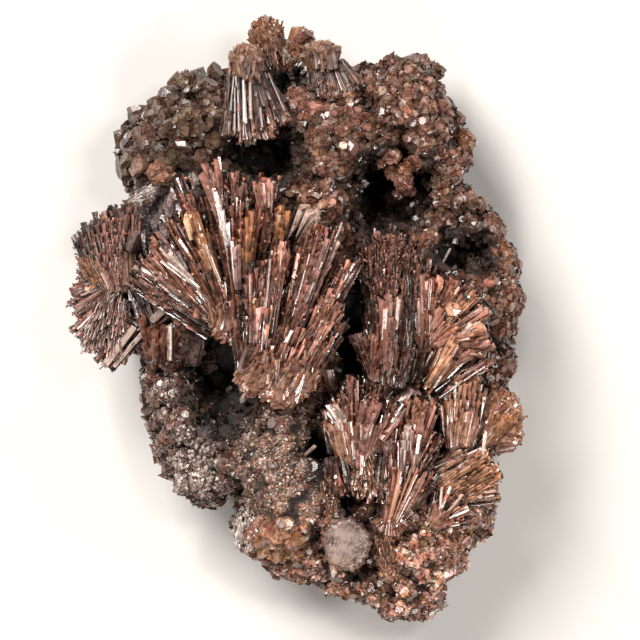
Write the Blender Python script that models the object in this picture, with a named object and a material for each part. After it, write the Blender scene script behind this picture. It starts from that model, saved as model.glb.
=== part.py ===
"""Pyromorphite specimen: a pitted piece of matrix rock with sheaves of hexagonal crystals grown on it.

The specimen lies on the flat broken face of its back, with the crystal side up.
X runs to the right and Y to the top of the specimen, seen from above; Z is height.
The origin is at the middle of the broken face. Tables are in millimetres and degrees.
"""
import math
import random
from dataclasses import dataclass

import bmesh
import bpy
from mathutils import Matrix, Vector, noise
from mathutils.geometry import delaunay_2d_cdt

MM = 0.001

# Driving dimensions of the matrix rock
RIM_HEIGHT = 10.5        # height of the widest line round the rock
RIM_SWING = 3.0          # how far that line wanders up and down
RIM_SWING_SIZE = 9.0     # distance over which it does
PLATEAU_HEIGHT = 18.5    # usual height of the crystal side
FRONT_ROUND = 7.5        # how far in the crystal side takes to rise from the rim
BACK_ROUND = 8.5         # how far in the back takes to fall to the flat broken face
EDGE_BLUNTNESS = 2.5     # 2 gives round edges, more gives blunter ones
GRID = 3.1               # spacing of the points on the crystal side
BACK_GRID = 5.2
GRID_MARGIN = 0.4        # how far inside the first band the points begin, against their spacing
EDGE_STEP = 0.9          # width of the first band of faces along the rim
RING_SHARE = 0.6         # least width of that band in a tight corner, against EDGE_STEP
MERGE_DISTANCE = 1e-5
INSIDE_ONLY = 1          # triangulate inside the outline alone
CRAG = 1.6               # height of the small humps between the named ones
CRAG_SIZE = 4.2          # distance over which they change
SLOPE_STEP = 0.4         # distance over which the slope at a place is read
BACK_CRAG = 5.0          # unevenness of the back's rounded edge
BREAK_STOP = 2.0         # how far under the rim a broken facet ends
SEAT_GAP = 0.45          # space between the rock and a crystal sheaf that sits on it
NEIGHBOUR_GAP = 0.4      # space between two sheaves that meet
BEAD_GAP = 0.75          # space between a bead and the nearest sheaf

# Outline of the rock seen from above, clockwise from the top left
OUTLINE = (
    (-4, 33), (1, 33.5), (6.5, 32), (10.5, 34), (15.5, 34.3), (17.5, 34), (18.5, 29.5), (20.5, 27.5),
    (22.5, 23), (21.8, 18.5), (23, 16), (25.5, 14), (28.3, 8), (29, 3), (28, -2), (28.3, -4),
    (27.3, -8), (26.5, -14), (26, -18), (25, -22.4), (25.3, -27), (24, -28.7), (21.8, -29.4), (22, -32),
    (19.5, -34.5), (19, -37), (17, -38.7), (14, -39.3), (11, -38), (7.3, -36.4), (3.6, -35.2), (-2, -33),
    (-5.7, -30.3), (-7.7, -28.5), (-7.7, -25), (-7.2, -22), (-9.4, -23), (-11, -24.4), (-12.7, -24),
    (-14.8, -22.5), (-17.5, -19), (-19, -14), (-20.2, -9), (-19.4, -6), (-21.5, -2.5), (-24.3, 0.5),
    (-25.8, 4), (-26, 8), (-25, 11), (-22.6, 14.4), (-21.6, 17), (-22.8, 22), (-22.4, 25), (-19, 27.6),
    (-16, 30.2), (-14, 32.5), (-11.5, 31.7), (-8, 32),
)

# Humps of the crystal side: middle x, middle y, height, half width, half length, turn
HUMPS = (
    (-2.5, -20.5, 6.5, 8.0, 9.5, 0),      # sugary druse bulge
    (-2.0, -11.0, 2.5, 5.0, 4.0, 0),      # its shoulder under the front fan
    (-14.5, -15.0, 2.0, 6.0, 8.5, 10),    # frosted lobe, lower left
    (15.0, 27.0, 4.0, 8.0, 7.0, 0),       # frothy crust, upper right
    (24.5, 14.0, 3.0, 5.0, 8.5, 20),      # crust on the right flank
    (-16.0, 24.5, 1.0, 7.5, 6.5, 0),      # bead field, upper left
    (4.4, 18.5, 5.0, 4.5, 7.5, -10),      # ridge between the two upper vugs
    (15.0, -34.0, 1.5, 6.0, 6.0, 0),      # lobes at the bottom
    (-23.0, 6.0, -4.0, 5.5, 9.0, 0),      # low shelf under the left wing
    (-18.5, 13.5, -2.0, 4.5, 4.5, 0),     # saddle of bare grey rock
    (13.0, -8.0, 2.0, 5.0, 9.0, 0),       # back of the tall sheaf
    (-4.0, 7.0, 2.5, 7.0, 8.0, -15),      # back of the central spray
)

# Pits, steep-walled: middle x, middle y, depth, half width, half length, turn
PITS = (
    (-9.6, -7.2, 11.0, 4.6, 7.6, 0),      # vug under the central fan
    (-3.6, 21.5, 11.0, 4.8, 4.2, 0),      # upper vug
    (12.2, 16.8, 14.0, 5.0, 5.6, -10),    # large vug
    (22.4, 9.0, 9.0, 3.6, 2.8, -20),      # right vug
    (8.0, 0.0, 7.0, 2.4, 8.5, -8),        # long slit beside the column
    (3.9, -17.2, 9.0, 2.2, 3.4, 0),       # slit beside the druse
    (11.5, -19.5, 6.0, 1.9, 5.0, 0),      # slit under the column
    (18.2, -15.0, 7.0, 2.0, 3.8, -10),    # slit inside the lower fan
    (-1.0, 31.0, 7.0, 2.2, 2.6, 0),       # hole between the top sheaves
)

# Broken facets round the back: the azimuth each faces, where it starts from the middle, its slope
BREAKS = (
    (200, 9.0, 30),
    (250, 19.0, 34),
    (318, 19.0, 31),
    (18, 16.0, 32),
    (74, 21.0, 33),
    (132, 17.0, 31),
)

# Fields of beads: middle x, middle y, half width, half length, count, smallest and largest radius
BEAD_FIELDS = (
    (-16.2, 24.6, 5.2, 5.0, 9, 1.2, 1.9),
    (14.5, 27.5, 6.8, 4.8, 8, 1.0, 1.7),
    (24.3, 13.5, 2.8, 6.5, 5, 0.9, 1.5),
    (4.6, 19.5, 2.4, 6.5, 4, 0.9, 1.4),
    (15.5, -34.0, 4.5, 3.2, 4, 1.3, 2.0),
    (26.5, 1.0, 1.2, 5.0, 3, 1.0, 1.5),
    (-15.0, -15.0, 3.5, 6.5, 3, 1.1, 1.6),
)
# Beads that stand out by themselves: x, y, radius
BEADS = (
    (-14.2, 25.6, 2.4),      # large rosette
    (-20.8, 23.2, 1.9),
    (-20.3, 19.2, 2.0),
    (0.2, 28.4, 2.2),        # pink rosette
    (0.7, 24.6, 1.4),
    (6.0, 22.6, 1.2),
    (17.2, 11.5, 1.4),
    (4.6, -24.6, 1.3),       # small pillar beside the druse
    (-6.4, -28.4, 1.5),      # clear crust at the lower left corner
)
BEAD_SEED = 11
BEAD_LEAN = 0.35
BEAD_FOOT = 0.85         # width of a bead at its foot, against its top
BEAD_RISE = 0.75         # how far a bead stands out of the rock, against its radius
BEAD_SPACING = 0.85      # least distance between two beads, against the sum of their radii
BEAD_MARGIN = 0.8        # how far inside the outline a bead keeps, against its radius
BEAD_TRIES = 12          # places tried for each bead of a field

CRYSTAL_SIDES = 6
BASE_WIDTH = 0.55        # width of a crystal where it leaves the core, against its tip
CORE_SHARE = 0.85        # radius of a fan's core against the widest crystal in it
CORE_TURN = 0.4
START_SHARE = 0.06       # how far from the focus a crystal starts, against its reach
AZIMUTH_JITTER = 2.0
LIFT_JITTER = 3.0
REACH_JITTER = 0.05
WIDTH_JITTER = 0.12
STEPS = 12               # places looked at along a crystal when another one may touch it


@dataclass(frozen=True)
class Row:
    """One layer of crystals in a fan, from one azimuth to another, all lifted by about the same angle."""

    first: float
    last: float
    reach: tuple
    lift: float
    width: float
    count: int


@dataclass(frozen=True)
class Fan:
    """Crystals that spread from one focus."""

    focus: tuple
    rows: tuple

    def core_radius(self):
        """Give the radius of the lump that the crystals leave from."""
        return CORE_SHARE * max(row.width for row in self.rows)

    def meets(self, crystal):
        """Tell whether a crystal comes near the core."""
        reach = self.core_radius() + crystal.tip_width / 2 + 2 * NEIGHBOUR_GAP
        return crystal.distance(Vector(self.focus)) < reach


@dataclass(frozen=True)
class Crystal:
    """One six-sided crystal, by its axis, its widths and the turn of its sides."""

    start: Vector
    tip: Vector
    start_width: float
    tip_width: float
    turn: float

    def grown(self, gap):
        """Give the same crystal with its skin moved out by a gap."""
        way = (self.tip - self.start).normalized() * gap
        wider = 2 * gap / math.cos(math.pi / CRYSTAL_SIDES)
        return Crystal(
            self.start - way, self.tip + way, self.start_width + wider, self.tip_width + wider, self.turn
        )

    def distance(self, place):
        """Give the distance from a place to the crystal's axis."""
        run = self.tip - self.start
        share = min(1.0, max(0.0, (place - self.start).dot(run) / run.length_squared))
        return (place - self.start - run * share).length

    def meets(self, other):
        """Tell whether another crystal comes near this one."""
        reach = (self.tip_width + other.tip_width) / 2 + 2 * NEIGHBOUR_GAP
        run = other.tip - other.start
        return any(self.distance(other.start + run * step / STEPS) < reach for step in range(STEPS + 1))


# Every sheaf is one solid, made of one fan or of several that grew into each other
SHEAVES = {
    "central_spray": (
        Fan((-8.3, -0.8, 22.0), (
            Row(152, 64, (14, 15, 15.5, 19.5, 21, 19.5, 17), 8, 2.6, 9),
            Row(148, 72, (12.5, 14, 17, 18, 16), -9, 2.7, 6),
            Row(185, 345, (2.8, 2.4, 3), 2, 2.6, 4),
        )),
        Fan((-4.6, -8.6, 26.0), (
            Row(98, 38, (11, 16, 19, 21.5, 22.5, 21, 15, 12), 13, 2.6, 8),
            Row(100, 44, (12, 16, 19, 20, 14), -2, 2.7, 6),
            Row(92, 54, (13, 15), -18, 3.2, 2),
            Row(175, 355, (3.4, 3, 3.4, 4.8), -6, 3.0, 5),
            Row(215, 330, (3.4, 3.4), -42, 3.4, 2),
        )),
    ),
    "tall_sheaf": (
        Fan((9.9, -8.5, 25.0), (
            Row(93, 75, (18.9, 19.5, 20, 20.8), 5, 2.3, 4),
            Row(92, 66, (17, 18, 13), -6, 2.4, 4),
            Row(104, 52, (7, 9, 6.5), 2, 2.4, 3),
        )),
        Fan((7.7, -17.4, 23.5), (
            Row(122, 58, (7, 8.6, 10, 11.5, 8.3), 8, 2.2, 5),
            Row(115, 62, (8, 10, 10), -12, 2.6, 4),
            Row(255, 288, (5.6, 6.2), -2, 3.4, 2),
        )),
    ),
    "right_fan": (
        Fan((17.9, -2.0, 23.5), (
            Row(108, -16, (9, 7.6, 7.8, 8.2, 8.8, 8.2, 7, 7), 14, 2.3, 7),
            Row(95, -5, (8, 7.5, 8, 7), -14, 2.7, 4),
        )),
        Fan((13.8, -8.1, 22.5), (
            Row(88, 72, (15.2, 15.9, 15), 4, 2.3, 3),
            Row(80, 58, (11.5, 9.5), -9, 2.8, 2),
            Row(214, 234, (6.2, 7.4), 3, 3.1, 2),
        )),
        Fan((17.2, -8.8, 22.0), (
            Row(66, 28, (7.2, 7.8, 8.5), 6, 2.6, 3),
        )),
    ),
    "lower_fan": (
        Fan((12.3, -26.0, 21.5), (
            Row(95, 52, (10.4, 13.4, 15.8, 16.5, 16, 12, 8.2), 8, 2.3, 6),
            Row(92, 56, (10, 14, 14, 9), -7, 2.5, 5),
            Row(205, 330, (2.6, 2.6), 0, 2.6, 3),
        )),
    ),
    "small_fan": (
        Fan((17.9, -26.4, 20.3), (
            Row(84, 8, (4.5, 5, 5.5, 5, 4.4), 14, 1.6, 5),
            Row(68, 24, (4.8, 4.8), -14, 2.2, 2),
        )),
    ),
    "shelf_sheaf": (
        Fan((18.6, -21.2, 20.0), (
            Row(46, -6, (5.5, 7.2, 7.6, 7.4), 8, 2.7, 4),
            Row(38, 4, (6, 6.6), -14, 3.0, 2),
        )),
    ),
    "upright_sheaf": (
        Fan((21.2, -16.6, 19.3), (
            Row(100, 68, (9.6, 10.9, 10.4, 8.4), 4, 2.5, 4),
            Row(96, 74, (9.6, 9.6), -10, 2.8, 2),
        )),
    ),
    "edge_fan": (
        Fan((23.9, -15.6, 17.2), (
            Row(84, 6, (7.4, 8.4, 8.2, 7.2, 5.8, 4.5), 2, 2.2, 7),
            Row(72, 20, (7.6, 7.6, 6.0), -20, 2.6, 4),
        )),
    ),
    "left_wing": (
        Fan((-22.4, 4.2, 17.0), (
            Row(128, 84, (9.3, 10, 10.6, 10.8), 4, 2.5, 5),
            Row(124, 92, (9.2, 9.6), -14, 2.7, 3),
            Row(168, 262, (6.4, 6.6, 8.2, 9.2, 8), -2, 2.4, 6),
            Row(196, 240, (6.4, 7.6), -20, 2.9, 2),
            Row(282, 304, (5.6, 5.8), 2, 2.2, 2),
        )),
        Fan((-19.6, -0.9, 17.6), (
            Row(218, 228, (7.6, 7.0), 6, 1.5, 2),
        )),
    ),
    "top_left_sheaf": (
        Fan((-6.3, 32.3, 19.0), (
            Row(128, 58, (3.7, 3.6, 3.4), 8, 2.6, 3),
            Row(256, 304, (8.4, 9.2, 9.2, 8), 8, 2.0, 5),
            Row(268, 292, (8.0, 8.0), -8, 2.5, 2),
        )),
    ),
    "top_knob": (
        Fan((-3.0, 33.4, 15.0), (
            Row(124, 36, (4.8, 6.0, 5.4, 4.6, 5.6, 5.2), 6, 2.0, 6),
            Row(108, 58, (4.4, 4.6), -16, 2.6, 2),
        )),
    ),
    "top_right_sheaf": (
        Fan((4.0, 33.2, 18.6), (
            Row(146, 52, (3.0, 3.2, 3.2), 4, 2.2, 3),
            Row(250, 320, (3.6, 4.6, 5.3, 5.2), 14, 1.8, 5),
            Row(268, 302, (4.4, 4.4), -14, 2.3, 2),
        )),
    ),
}
SHEAF_SEED = 5

# Pale lobed plate at the bottom
PLATE_MIDDLE = (6.6, -29.0, 22.3)
PLATE_RADIUS = 3.0
PLATE_LOBES = 9
PLATE_SCALLOP = 0.16
PLATE_THICKNESS = 2.6
PLATE_TILT = (8.0, -6.0)
PLATE_RINGS = ((0.72, 0.92), (1.0, 0.35), (0.92, -0.6))    # shares of its radius and of half its thickness

# Colour and roughness of each kind of surface
FINISHES = {
    "rock": ((0.22, 0.15, 0.12), 0.75),
    "crystal": ((0.32, 0.17, 0.11), 0.35),
    "pale": ((0.52, 0.42, 0.38), 0.5),
}


def clear_scene():
    """Remove every object that the new file holds."""
    for item in list(bpy.data.objects):
        bpy.data.objects.remove(item, do_unlink=True)


def finish(name, kind):
    """Make the material of one object."""
    colour, roughness = FINISHES[kind]
    material = bpy.data.materials.new(name)
    material.use_nodes = True
    shader = material.node_tree.nodes["Principled BSDF"]
    shader.inputs["Base Color"].default_value = (*colour, 1.0)
    shader.inputs["Roughness"].default_value = roughness
    shader.inputs["Metallic"].default_value = 0.0
    return material


def new_object(name, mesh):
    """Put a mesh into the scene."""
    item = bpy.data.objects.new(name, mesh)
    bpy.context.scene.collection.objects.link(item)
    return item


def mesh_object(name, vertices, faces):
    """Make an object from points in millimetres and faces, with the faces turned outwards."""
    shape = bmesh.new()
    corners = [shape.verts.new(Vector(point) * MM) for point in vertices]
    for face in faces:
        shape.faces.new([corners[index] for index in face])
    bmesh.ops.recalc_face_normals(shape, faces=shape.faces)
    mesh = bpy.data.meshes.new(name)
    shape.to_mesh(mesh)
    shape.free()
    return new_object(name, mesh)


def boolean(base, others, operation):
    """Join the others to the base or take them from it, then remove them."""
    group = bpy.data.collections.new("others")
    bpy.context.scene.collection.children.link(group)
    for other in others:
        bpy.context.scene.collection.objects.unlink(other)
        group.objects.link(other)
    cut = base.modifiers.new(operation.lower(), "BOOLEAN")
    cut.operation = operation
    cut.solver = "EXACT"
    cut.operand_type = "COLLECTION"
    cut.collection = group
    bpy.context.view_layer.update()
    graph = bpy.context.evaluated_depsgraph_get()
    result = bpy.data.meshes.new_from_object(base.evaluated_get(graph))
    base.modifiers.clear()
    base.data = result
    for other in others:
        bpy.data.objects.remove(other, do_unlink=True)
    bpy.data.collections.remove(group)


def keep_largest_body(item):
    """Drop the small loose chips that a cut leaves."""
    shape = bmesh.new()
    shape.from_mesh(item.data)
    shape.verts.ensure_lookup_table()
    seen = set()
    bodies = []
    for vertex in shape.verts:
        if vertex.index in seen:
            continue
        body = [vertex]
        seen.add(vertex.index)
        for member in body:
            for edge in member.link_edges:
                other = edge.other_vert(member)
                if other.index not in seen:
                    seen.add(other.index)
                    body.append(other)
        bodies.append(body)
    bodies.sort(key=len, reverse=True)
    for body in bodies[1:]:
        bmesh.ops.delete(shape, geom=body, context="VERTS")
    shape.to_mesh(item.data)
    shape.free()


def even_outline(step):
    """Give the outline's points, with more of them along its long sides."""
    points = []
    for start, end in zip(OUTLINE, OUTLINE[1:] + OUTLINE[:1]):
        parts = max(1, round(math.dist(start, end) / step))
        for index in range(parts):
            share = index / parts
            points.append((start[0] + (end[0] - start[0]) * share, start[1] + (end[1] - start[1]) * share))
    return points


def inset(x, y):
    """Give the distance from a place to the outline: positive inside it, negative outside."""
    nearest = math.inf
    inside = False
    for (ax, ay), (bx, by) in zip(OUTLINE, OUTLINE[1:] + OUTLINE[:1]):
        dx = bx - ax
        dy = by - ay
        share = ((x - ax) * dx + (y - ay) * dy) / (dx * dx + dy * dy)
        share = min(1.0, max(0.0, share))
        nearest = min(nearest, math.hypot(x - ax - share * dx, y - ay - share * dy))
        if (ay > y) != (by > y) and x < ax + (y - ay) * dx / dy:
            inside = not inside
    return nearest if inside else -nearest


def spot(x, y, place, power):
    """Give a hump's or pit's strength at a place, from 1 at its middle to 0 far away."""
    middle_x, middle_y, _, half_width, half_length, turn = place
    angle = math.radians(turn)
    dx = x - middle_x
    dy = y - middle_y
    along = (dx * math.cos(angle) + dy * math.sin(angle)) / half_width
    across = (dy * math.cos(angle) - dx * math.sin(angle)) / half_length
    return math.exp(-(along * along + across * across) ** power)


def rounded(depth, reach):
    """Give the rise of a rounded edge, from 0 at the rim to 1 where it ends."""
    share = min(1.0, max(0.0, depth / reach))
    return (1.0 - (1.0 - share) ** EDGE_BLUNTNESS) ** (1.0 / EDGE_BLUNTNESS)


def unevenness(x, y, size, layer):
    """Give a smooth random value from about -1 to 1 at a place."""
    return noise.noise(Vector((x / size, y / size, layer)))


def rim_height(x, y):
    """Give the height of the line between the crystal side and the back."""
    return RIM_HEIGHT + RIM_SWING * unevenness(x, y, RIM_SWING_SIZE, 3.0)


def front_height(x, y):
    """Give the height of the crystal side of the rock."""
    level = PLATEAU_HEIGHT
    level += sum(hump[2] * spot(x, y, hump, 1) for hump in HUMPS)
    level += CRAG * unevenness(x, y, CRAG_SIZE, 0.0)
    level -= sum(pit[2] * spot(x, y, pit, 2) for pit in PITS)
    rim = rim_height(x, y)
    return rim + (level - rim) * rounded(inset(x, y), FRONT_ROUND)


def back_height(x, y):
    """Give the height of the back, which is flat past its rounded edge."""
    fall = rounded(inset(x, y), BACK_ROUND)
    rim = rim_height(x, y)
    level = max(0.0, rim * (1.0 - fall) + BACK_CRAG * unevenness(x, y, CRAG_SIZE, 7.0) * fall * (1.0 - fall))
    for azimuth, start, slope in BREAKS:
        turn = math.radians(azimuth)
        reach = x * math.cos(turn) + y * math.sin(turn) - start
        level = max(level, min(reach * math.tan(math.radians(slope)), rim - BREAK_STOP))
    return level


def inner_ring(rim):
    """Give the rim's points moved inwards by one band."""
    points = []
    for before, here, after in zip(rim[-1:] + rim[:-1], rim, rim[1:] + rim[:1]):
        run = Vector((after[0] - before[0], after[1] - before[1])).normalized()
        point = (here[0] + run.y * EDGE_STEP, here[1] - run.x * EDGE_STEP)
        if inset(*point) > EDGE_STEP * RING_SHARE:
            points.append(point)
    return points


def lattice(step, margin):
    """Give the points of a triangular lattice that lie further than a margin inside the outline."""
    points = []
    row_step = step * math.sqrt(3) / 2
    left = min(point[0] for point in OUTLINE)
    right = max(point[0] for point in OUTLINE)
    low = min(point[1] for point in OUTLINE)
    high = max(point[1] for point in OUTLINE)
    for row in range(int((high - low) / row_step) + 1):
        y = low + row * row_step
        for column in range(int((right - left) / step) + 1):
            x = left + (column + row % 2 / 2) * step
            if inset(x, y) > margin:
                points.append((x, y))
    return points


def sheet(rim, inner):
    """Fill the outline with triangles through the inner points."""
    flat = [Vector(point) for point in rim + inner]
    edges = [(index, (index + 1) % len(rim)) for index in range(len(rim))]
    made = delaunay_2d_cdt(flat, edges, [], INSIDE_ONLY, MERGE_DISTANCE)
    origins = [sources[0] for sources in made[3]]
    return [[origins[index] for index in face] for face in made[2]]


def make_rock():
    """Model the bare rock between its crystal side and its broken back."""
    rim = even_outline(GRID)
    ring = inner_ring(rim)
    front = ring + lattice(GRID, EDGE_STEP + GRID * GRID_MARGIN)
    back = ring + lattice(BACK_GRID, EDGE_STEP + BACK_GRID * GRID_MARGIN)
    vertices = [(x, y, rim_height(x, y)) for x, y in rim]
    vertices += [(x, y, front_height(x, y)) for x, y in front]
    vertices += [(x, y, back_height(x, y)) for x, y in back]
    faces = sheet(rim, front)
    for face in sheet(rim, back):
        shifted = [index if index < len(rim) else index + len(front) for index in face]
        faces.append(shifted[::-1])
    return mesh_object("matrix", vertices, faces)


def make_seat_cutter(rock):
    """Copy the rock, grown by the seat gap, to trim the sheaves that sit on it."""
    cutter = new_object("seat_cutter", rock.data.copy())
    normals = [vertex.normal.copy() for vertex in cutter.data.vertices]
    for vertex, normal in zip(cutter.data.vertices, normals):
        vertex.co += normal * SEAT_GAP * MM
    return cutter


def direction(azimuth, lift):
    """Give the unit vector at an azimuth and a lift, both in degrees."""
    turn = math.radians(azimuth)
    rise = math.radians(lift)
    return Vector((math.cos(turn) * math.cos(rise), math.sin(turn) * math.cos(rise), math.sin(rise)))


def along(values, share):
    """Read a short list of values at a share of its length."""
    place = share * (len(values) - 1)
    index = min(int(place), len(values) - 2)
    return values[index] + (values[index + 1] - values[index]) * (place - index)


def fan_crystals(fan, chance):
    """Lay out the crystals of a fan."""
    focus = Vector(fan.focus)
    crystals = []
    for row in fan.rows:
        for index in range(row.count):
            share = index / (row.count - 1)
            azimuth = row.first + (row.last - row.first) * share
            azimuth += chance.uniform(-AZIMUTH_JITTER, AZIMUTH_JITTER)
            lift = row.lift + chance.uniform(-LIFT_JITTER, LIFT_JITTER)
            reach = along(row.reach, share) * (1 + chance.uniform(-REACH_JITTER, REACH_JITTER))
            width = row.width * (1 + chance.uniform(-WIDTH_JITTER, WIDTH_JITTER))
            turn = chance.uniform(0, math.tau / CRYSTAL_SIDES)
            way = direction(azimuth, lift) * reach
            crystals.append(Crystal(focus + way * START_SHARE, focus + way, width * BASE_WIDTH, width, turn))
    return crystals


def make_crystal(name, crystal):
    """Model one six-sided crystal with flat ends."""
    axis = (crystal.tip - crystal.start).normalized()
    frame = axis.to_track_quat("Z", "Y")
    vertices = []
    for middle, width in ((crystal.start, crystal.start_width), (crystal.tip, crystal.tip_width)):
        for side in range(CRYSTAL_SIDES):
            angle = crystal.turn + math.tau * side / CRYSTAL_SIDES
            corner = Vector((math.cos(angle), math.sin(angle), 0)) * width / 2
            vertices.append(middle + frame @ corner)
    faces = [list(range(CRYSTAL_SIDES))[::-1], list(range(CRYSTAL_SIDES, 2 * CRYSTAL_SIDES))]
    for side in range(CRYSTAL_SIDES):
        after = (side + 1) % CRYSTAL_SIDES
        faces.append([side, after, after + CRYSTAL_SIDES, side + CRYSTAL_SIDES])
    return mesh_object(name, vertices, faces)


def make_core(fan, gap=0.0):
    """Model the lump that a fan's crystals leave from."""
    shape = bmesh.new()
    place = Matrix.Translation(Vector(fan.focus) * MM) @ Matrix.Rotation(CORE_TURN, 4, "X")
    bmesh.ops.create_icosphere(shape, subdivisions=1, radius=(fan.core_radius() + gap) * MM, matrix=place)
    mesh = bpy.data.meshes.new("core")
    shape.to_mesh(mesh)
    shape.free()
    return new_object("core", mesh)


def make_sheaf(name, fans, crystals, neighbours, seat_cutter):
    """Join a sheaf's crystals into one solid, trimmed to the rock and to the sheaves beside it."""
    pieces = [make_core(fan) for fan in fans]
    pieces += [make_crystal("crystal", crystal) for crystal in crystals]
    sheaf = pieces[0]
    sheaf.name = name
    sheaf.data.name = name
    boolean(sheaf, pieces[1:], "UNION")
    cutters = [new_object("trim", seat_cutter.data.copy())]
    for other_fans, other_crystals in neighbours:
        for other in other_crystals:
            if any(other.meets(crystal) for crystal in crystals) or any(fan.meets(other) for fan in fans):
                cutters.append(make_crystal("trim", other.grown(NEIGHBOUR_GAP)))
        for fan in other_fans:
            if any(fan.meets(crystal) for crystal in crystals):
                cutters.append(make_core(fan, NEIGHBOUR_GAP))
    boolean(sheaf, cutters, "DIFFERENCE")
    keep_largest_body(sheaf)
    sheaf.data.materials.clear()
    sheaf.data.materials.append(finish(name, "crystal"))


def clear_of(place, radius, crystals):
    """Tell whether a ball stays clear of every crystal of the sheaves."""
    return all(
        crystal.distance(place) > radius + crystal.tip_width / 2 + BEAD_GAP
        for crystal in crystals
    )


def surface_normal(x, y):
    """Give the direction that the crystal side faces at a place."""
    step = SLOPE_STEP
    slope_x = (front_height(x + step, y) - front_height(x - step, y)) / (2 * step)
    slope_y = (front_height(x, y + step) - front_height(x, y - step)) / (2 * step)
    return Vector((-slope_x, -slope_y, 1)).normalized()


def make_bead(middle, radius, chance):
    """Model one short crystal that stands out of the rock."""
    lean = Vector([chance.uniform(-BEAD_LEAN, BEAD_LEAN) for _ in range(3)])
    up = (surface_normal(middle.x, middle.y) + lean).normalized()
    turn = chance.uniform(0, math.tau / CRYSTAL_SIDES)
    foot = middle - up * radius
    top = middle + up * radius * BEAD_RISE
    return make_crystal("bead", Crystal(foot, top, radius * 2 * BEAD_FOOT, radius * 2, turn))


def bead_places(crystals, chance):
    """Choose where the beads go: the named ones, then the fields, all clear of each other and the sheaves."""
    places = []
    for x, y, radius in BEADS:
        middle = Vector((x, y, front_height(x, y)))
        if clear_of(middle, radius, crystals):
            places.append((middle, radius))
    for field_x, field_y, half_width, half_length, count, smallest, largest in BEAD_FIELDS:
        made = 0
        for _ in range(count * BEAD_TRIES):
            if made == count:
                break
            x = field_x + chance.uniform(-half_width, half_width)
            y = field_y + chance.uniform(-half_length, half_length)
            radius = chance.uniform(smallest, largest)
            if inset(x, y) < radius * BEAD_MARGIN:
                continue
            middle = Vector((x, y, front_height(x, y)))
            apart = all((middle - other).length > BEAD_SPACING * (radius + size) for other, size in places)
            if apart and clear_of(middle, radius, crystals):
                places.append((middle, radius))
                made += 1
    return places


def make_plate():
    """Model the pale plate with its scalloped edge."""
    vertices = [(0, 0, PLATE_THICKNESS / 2), (0, 0, -PLATE_THICKNESS / 2)]
    corners = PLATE_LOBES * 2
    for reach, level in PLATE_RINGS:
        for index in range(corners):
            angle = math.tau * index / corners
            radius = PLATE_RADIUS * reach * (1 - PLATE_SCALLOP * (0.5 - 0.5 * math.cos(PLATE_LOBES * angle)))
            vertices.append((radius * math.cos(angle), radius * math.sin(angle), level * PLATE_THICKNESS / 2))
    faces = []
    for index in range(corners):
        after = (index + 1) % corners
        faces.append([0, 2 + index, 2 + after])
        for ring in range(len(PLATE_RINGS) - 1):
            upper = 2 + ring * corners
            lower = upper + corners
            faces.append([upper + index, lower + index, lower + after, upper + after])
        last = 2 + (len(PLATE_RINGS) - 1) * corners
        faces.append([1, last + after, last + index])
    lean = Matrix.Rotation(math.radians(PLATE_TILT[0]), 4, "X")
    roll = Matrix.Rotation(math.radians(PLATE_TILT[1]), 4, "Y")
    place = Matrix.Translation(PLATE_MIDDLE) @ lean @ roll
    return mesh_object("pale_plate", [place @ Vector(vertex) for vertex in vertices], faces)


def main():
    """Build the whole specimen."""
    clear_scene()
    rock = make_rock()
    seat_cutter = make_seat_cutter(rock)
    chance = random.Random(SHEAF_SEED)
    neighbours = []
    for name, fans in SHEAVES.items():
        crystals = [crystal for fan in fans for crystal in fan_crystals(fan, chance)]
        make_sheaf(name, fans, crystals, neighbours, seat_cutter)
        neighbours.append((fans, crystals))

    plate = make_plate()
    boolean(plate, [seat_cutter], "DIFFERENCE")
    keep_largest_body(plate)
    plate.data.materials.append(finish("pale_plate", "pale"))
    middle = Vector(PLATE_MIDDLE)
    width = 2 * PLATE_RADIUS
    around_plate = Crystal(middle, middle + Vector((0, 0, 1)), width, width, 0.0)

    everything = [crystal for _, crystals in neighbours for crystal in crystals]
    bead_chance = random.Random(BEAD_SEED)
    beads = [
        make_bead(middle, radius, bead_chance)
        for middle, radius in bead_places(everything + [around_plate], bead_chance)
    ]
    boolean(rock, beads, "UNION")
    keep_largest_body(rock)
    rock.data.materials.clear()
    rock.data.materials.append(finish("matrix", "rock"))


main()
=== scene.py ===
"""Looks of the pyromorphite specimen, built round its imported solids.

Tables are in millimetres and degrees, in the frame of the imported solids: X to the right and Y to
the top of the specimen seen from above, Z up. Meshes are made in metres.
"""
import logging
import math
import random
from dataclasses import dataclass
from enum import Enum

import bpy
import numpy as np
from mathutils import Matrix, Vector, noise
from mathutils.geometry import delaunay_2d_cdt


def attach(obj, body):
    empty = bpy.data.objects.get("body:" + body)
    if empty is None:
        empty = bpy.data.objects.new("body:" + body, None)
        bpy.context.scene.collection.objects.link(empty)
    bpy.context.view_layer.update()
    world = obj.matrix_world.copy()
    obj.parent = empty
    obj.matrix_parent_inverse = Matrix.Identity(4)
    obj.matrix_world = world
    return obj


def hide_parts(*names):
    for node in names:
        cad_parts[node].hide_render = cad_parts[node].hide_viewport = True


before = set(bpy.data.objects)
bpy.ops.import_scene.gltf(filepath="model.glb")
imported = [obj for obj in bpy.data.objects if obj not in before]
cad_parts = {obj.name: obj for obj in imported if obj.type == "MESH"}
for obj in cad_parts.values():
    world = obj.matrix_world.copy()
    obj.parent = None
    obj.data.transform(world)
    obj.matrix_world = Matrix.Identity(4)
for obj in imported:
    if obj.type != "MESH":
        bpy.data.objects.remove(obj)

Array = np.ndarray
Chance = np.random.Generator
Colour = tuple[float, float, float]
Material = bpy.types.Material
Piece = bpy.types.Object
Point = tuple[float, float, float]

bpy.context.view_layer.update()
MM = 0.001
SIDES = 6
GOLDEN_ANGLE = 2.39996
TINY = 1e-9
FLAT_MIDDLE = 2.0
LOG = logging.getLogger("specimen")


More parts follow.
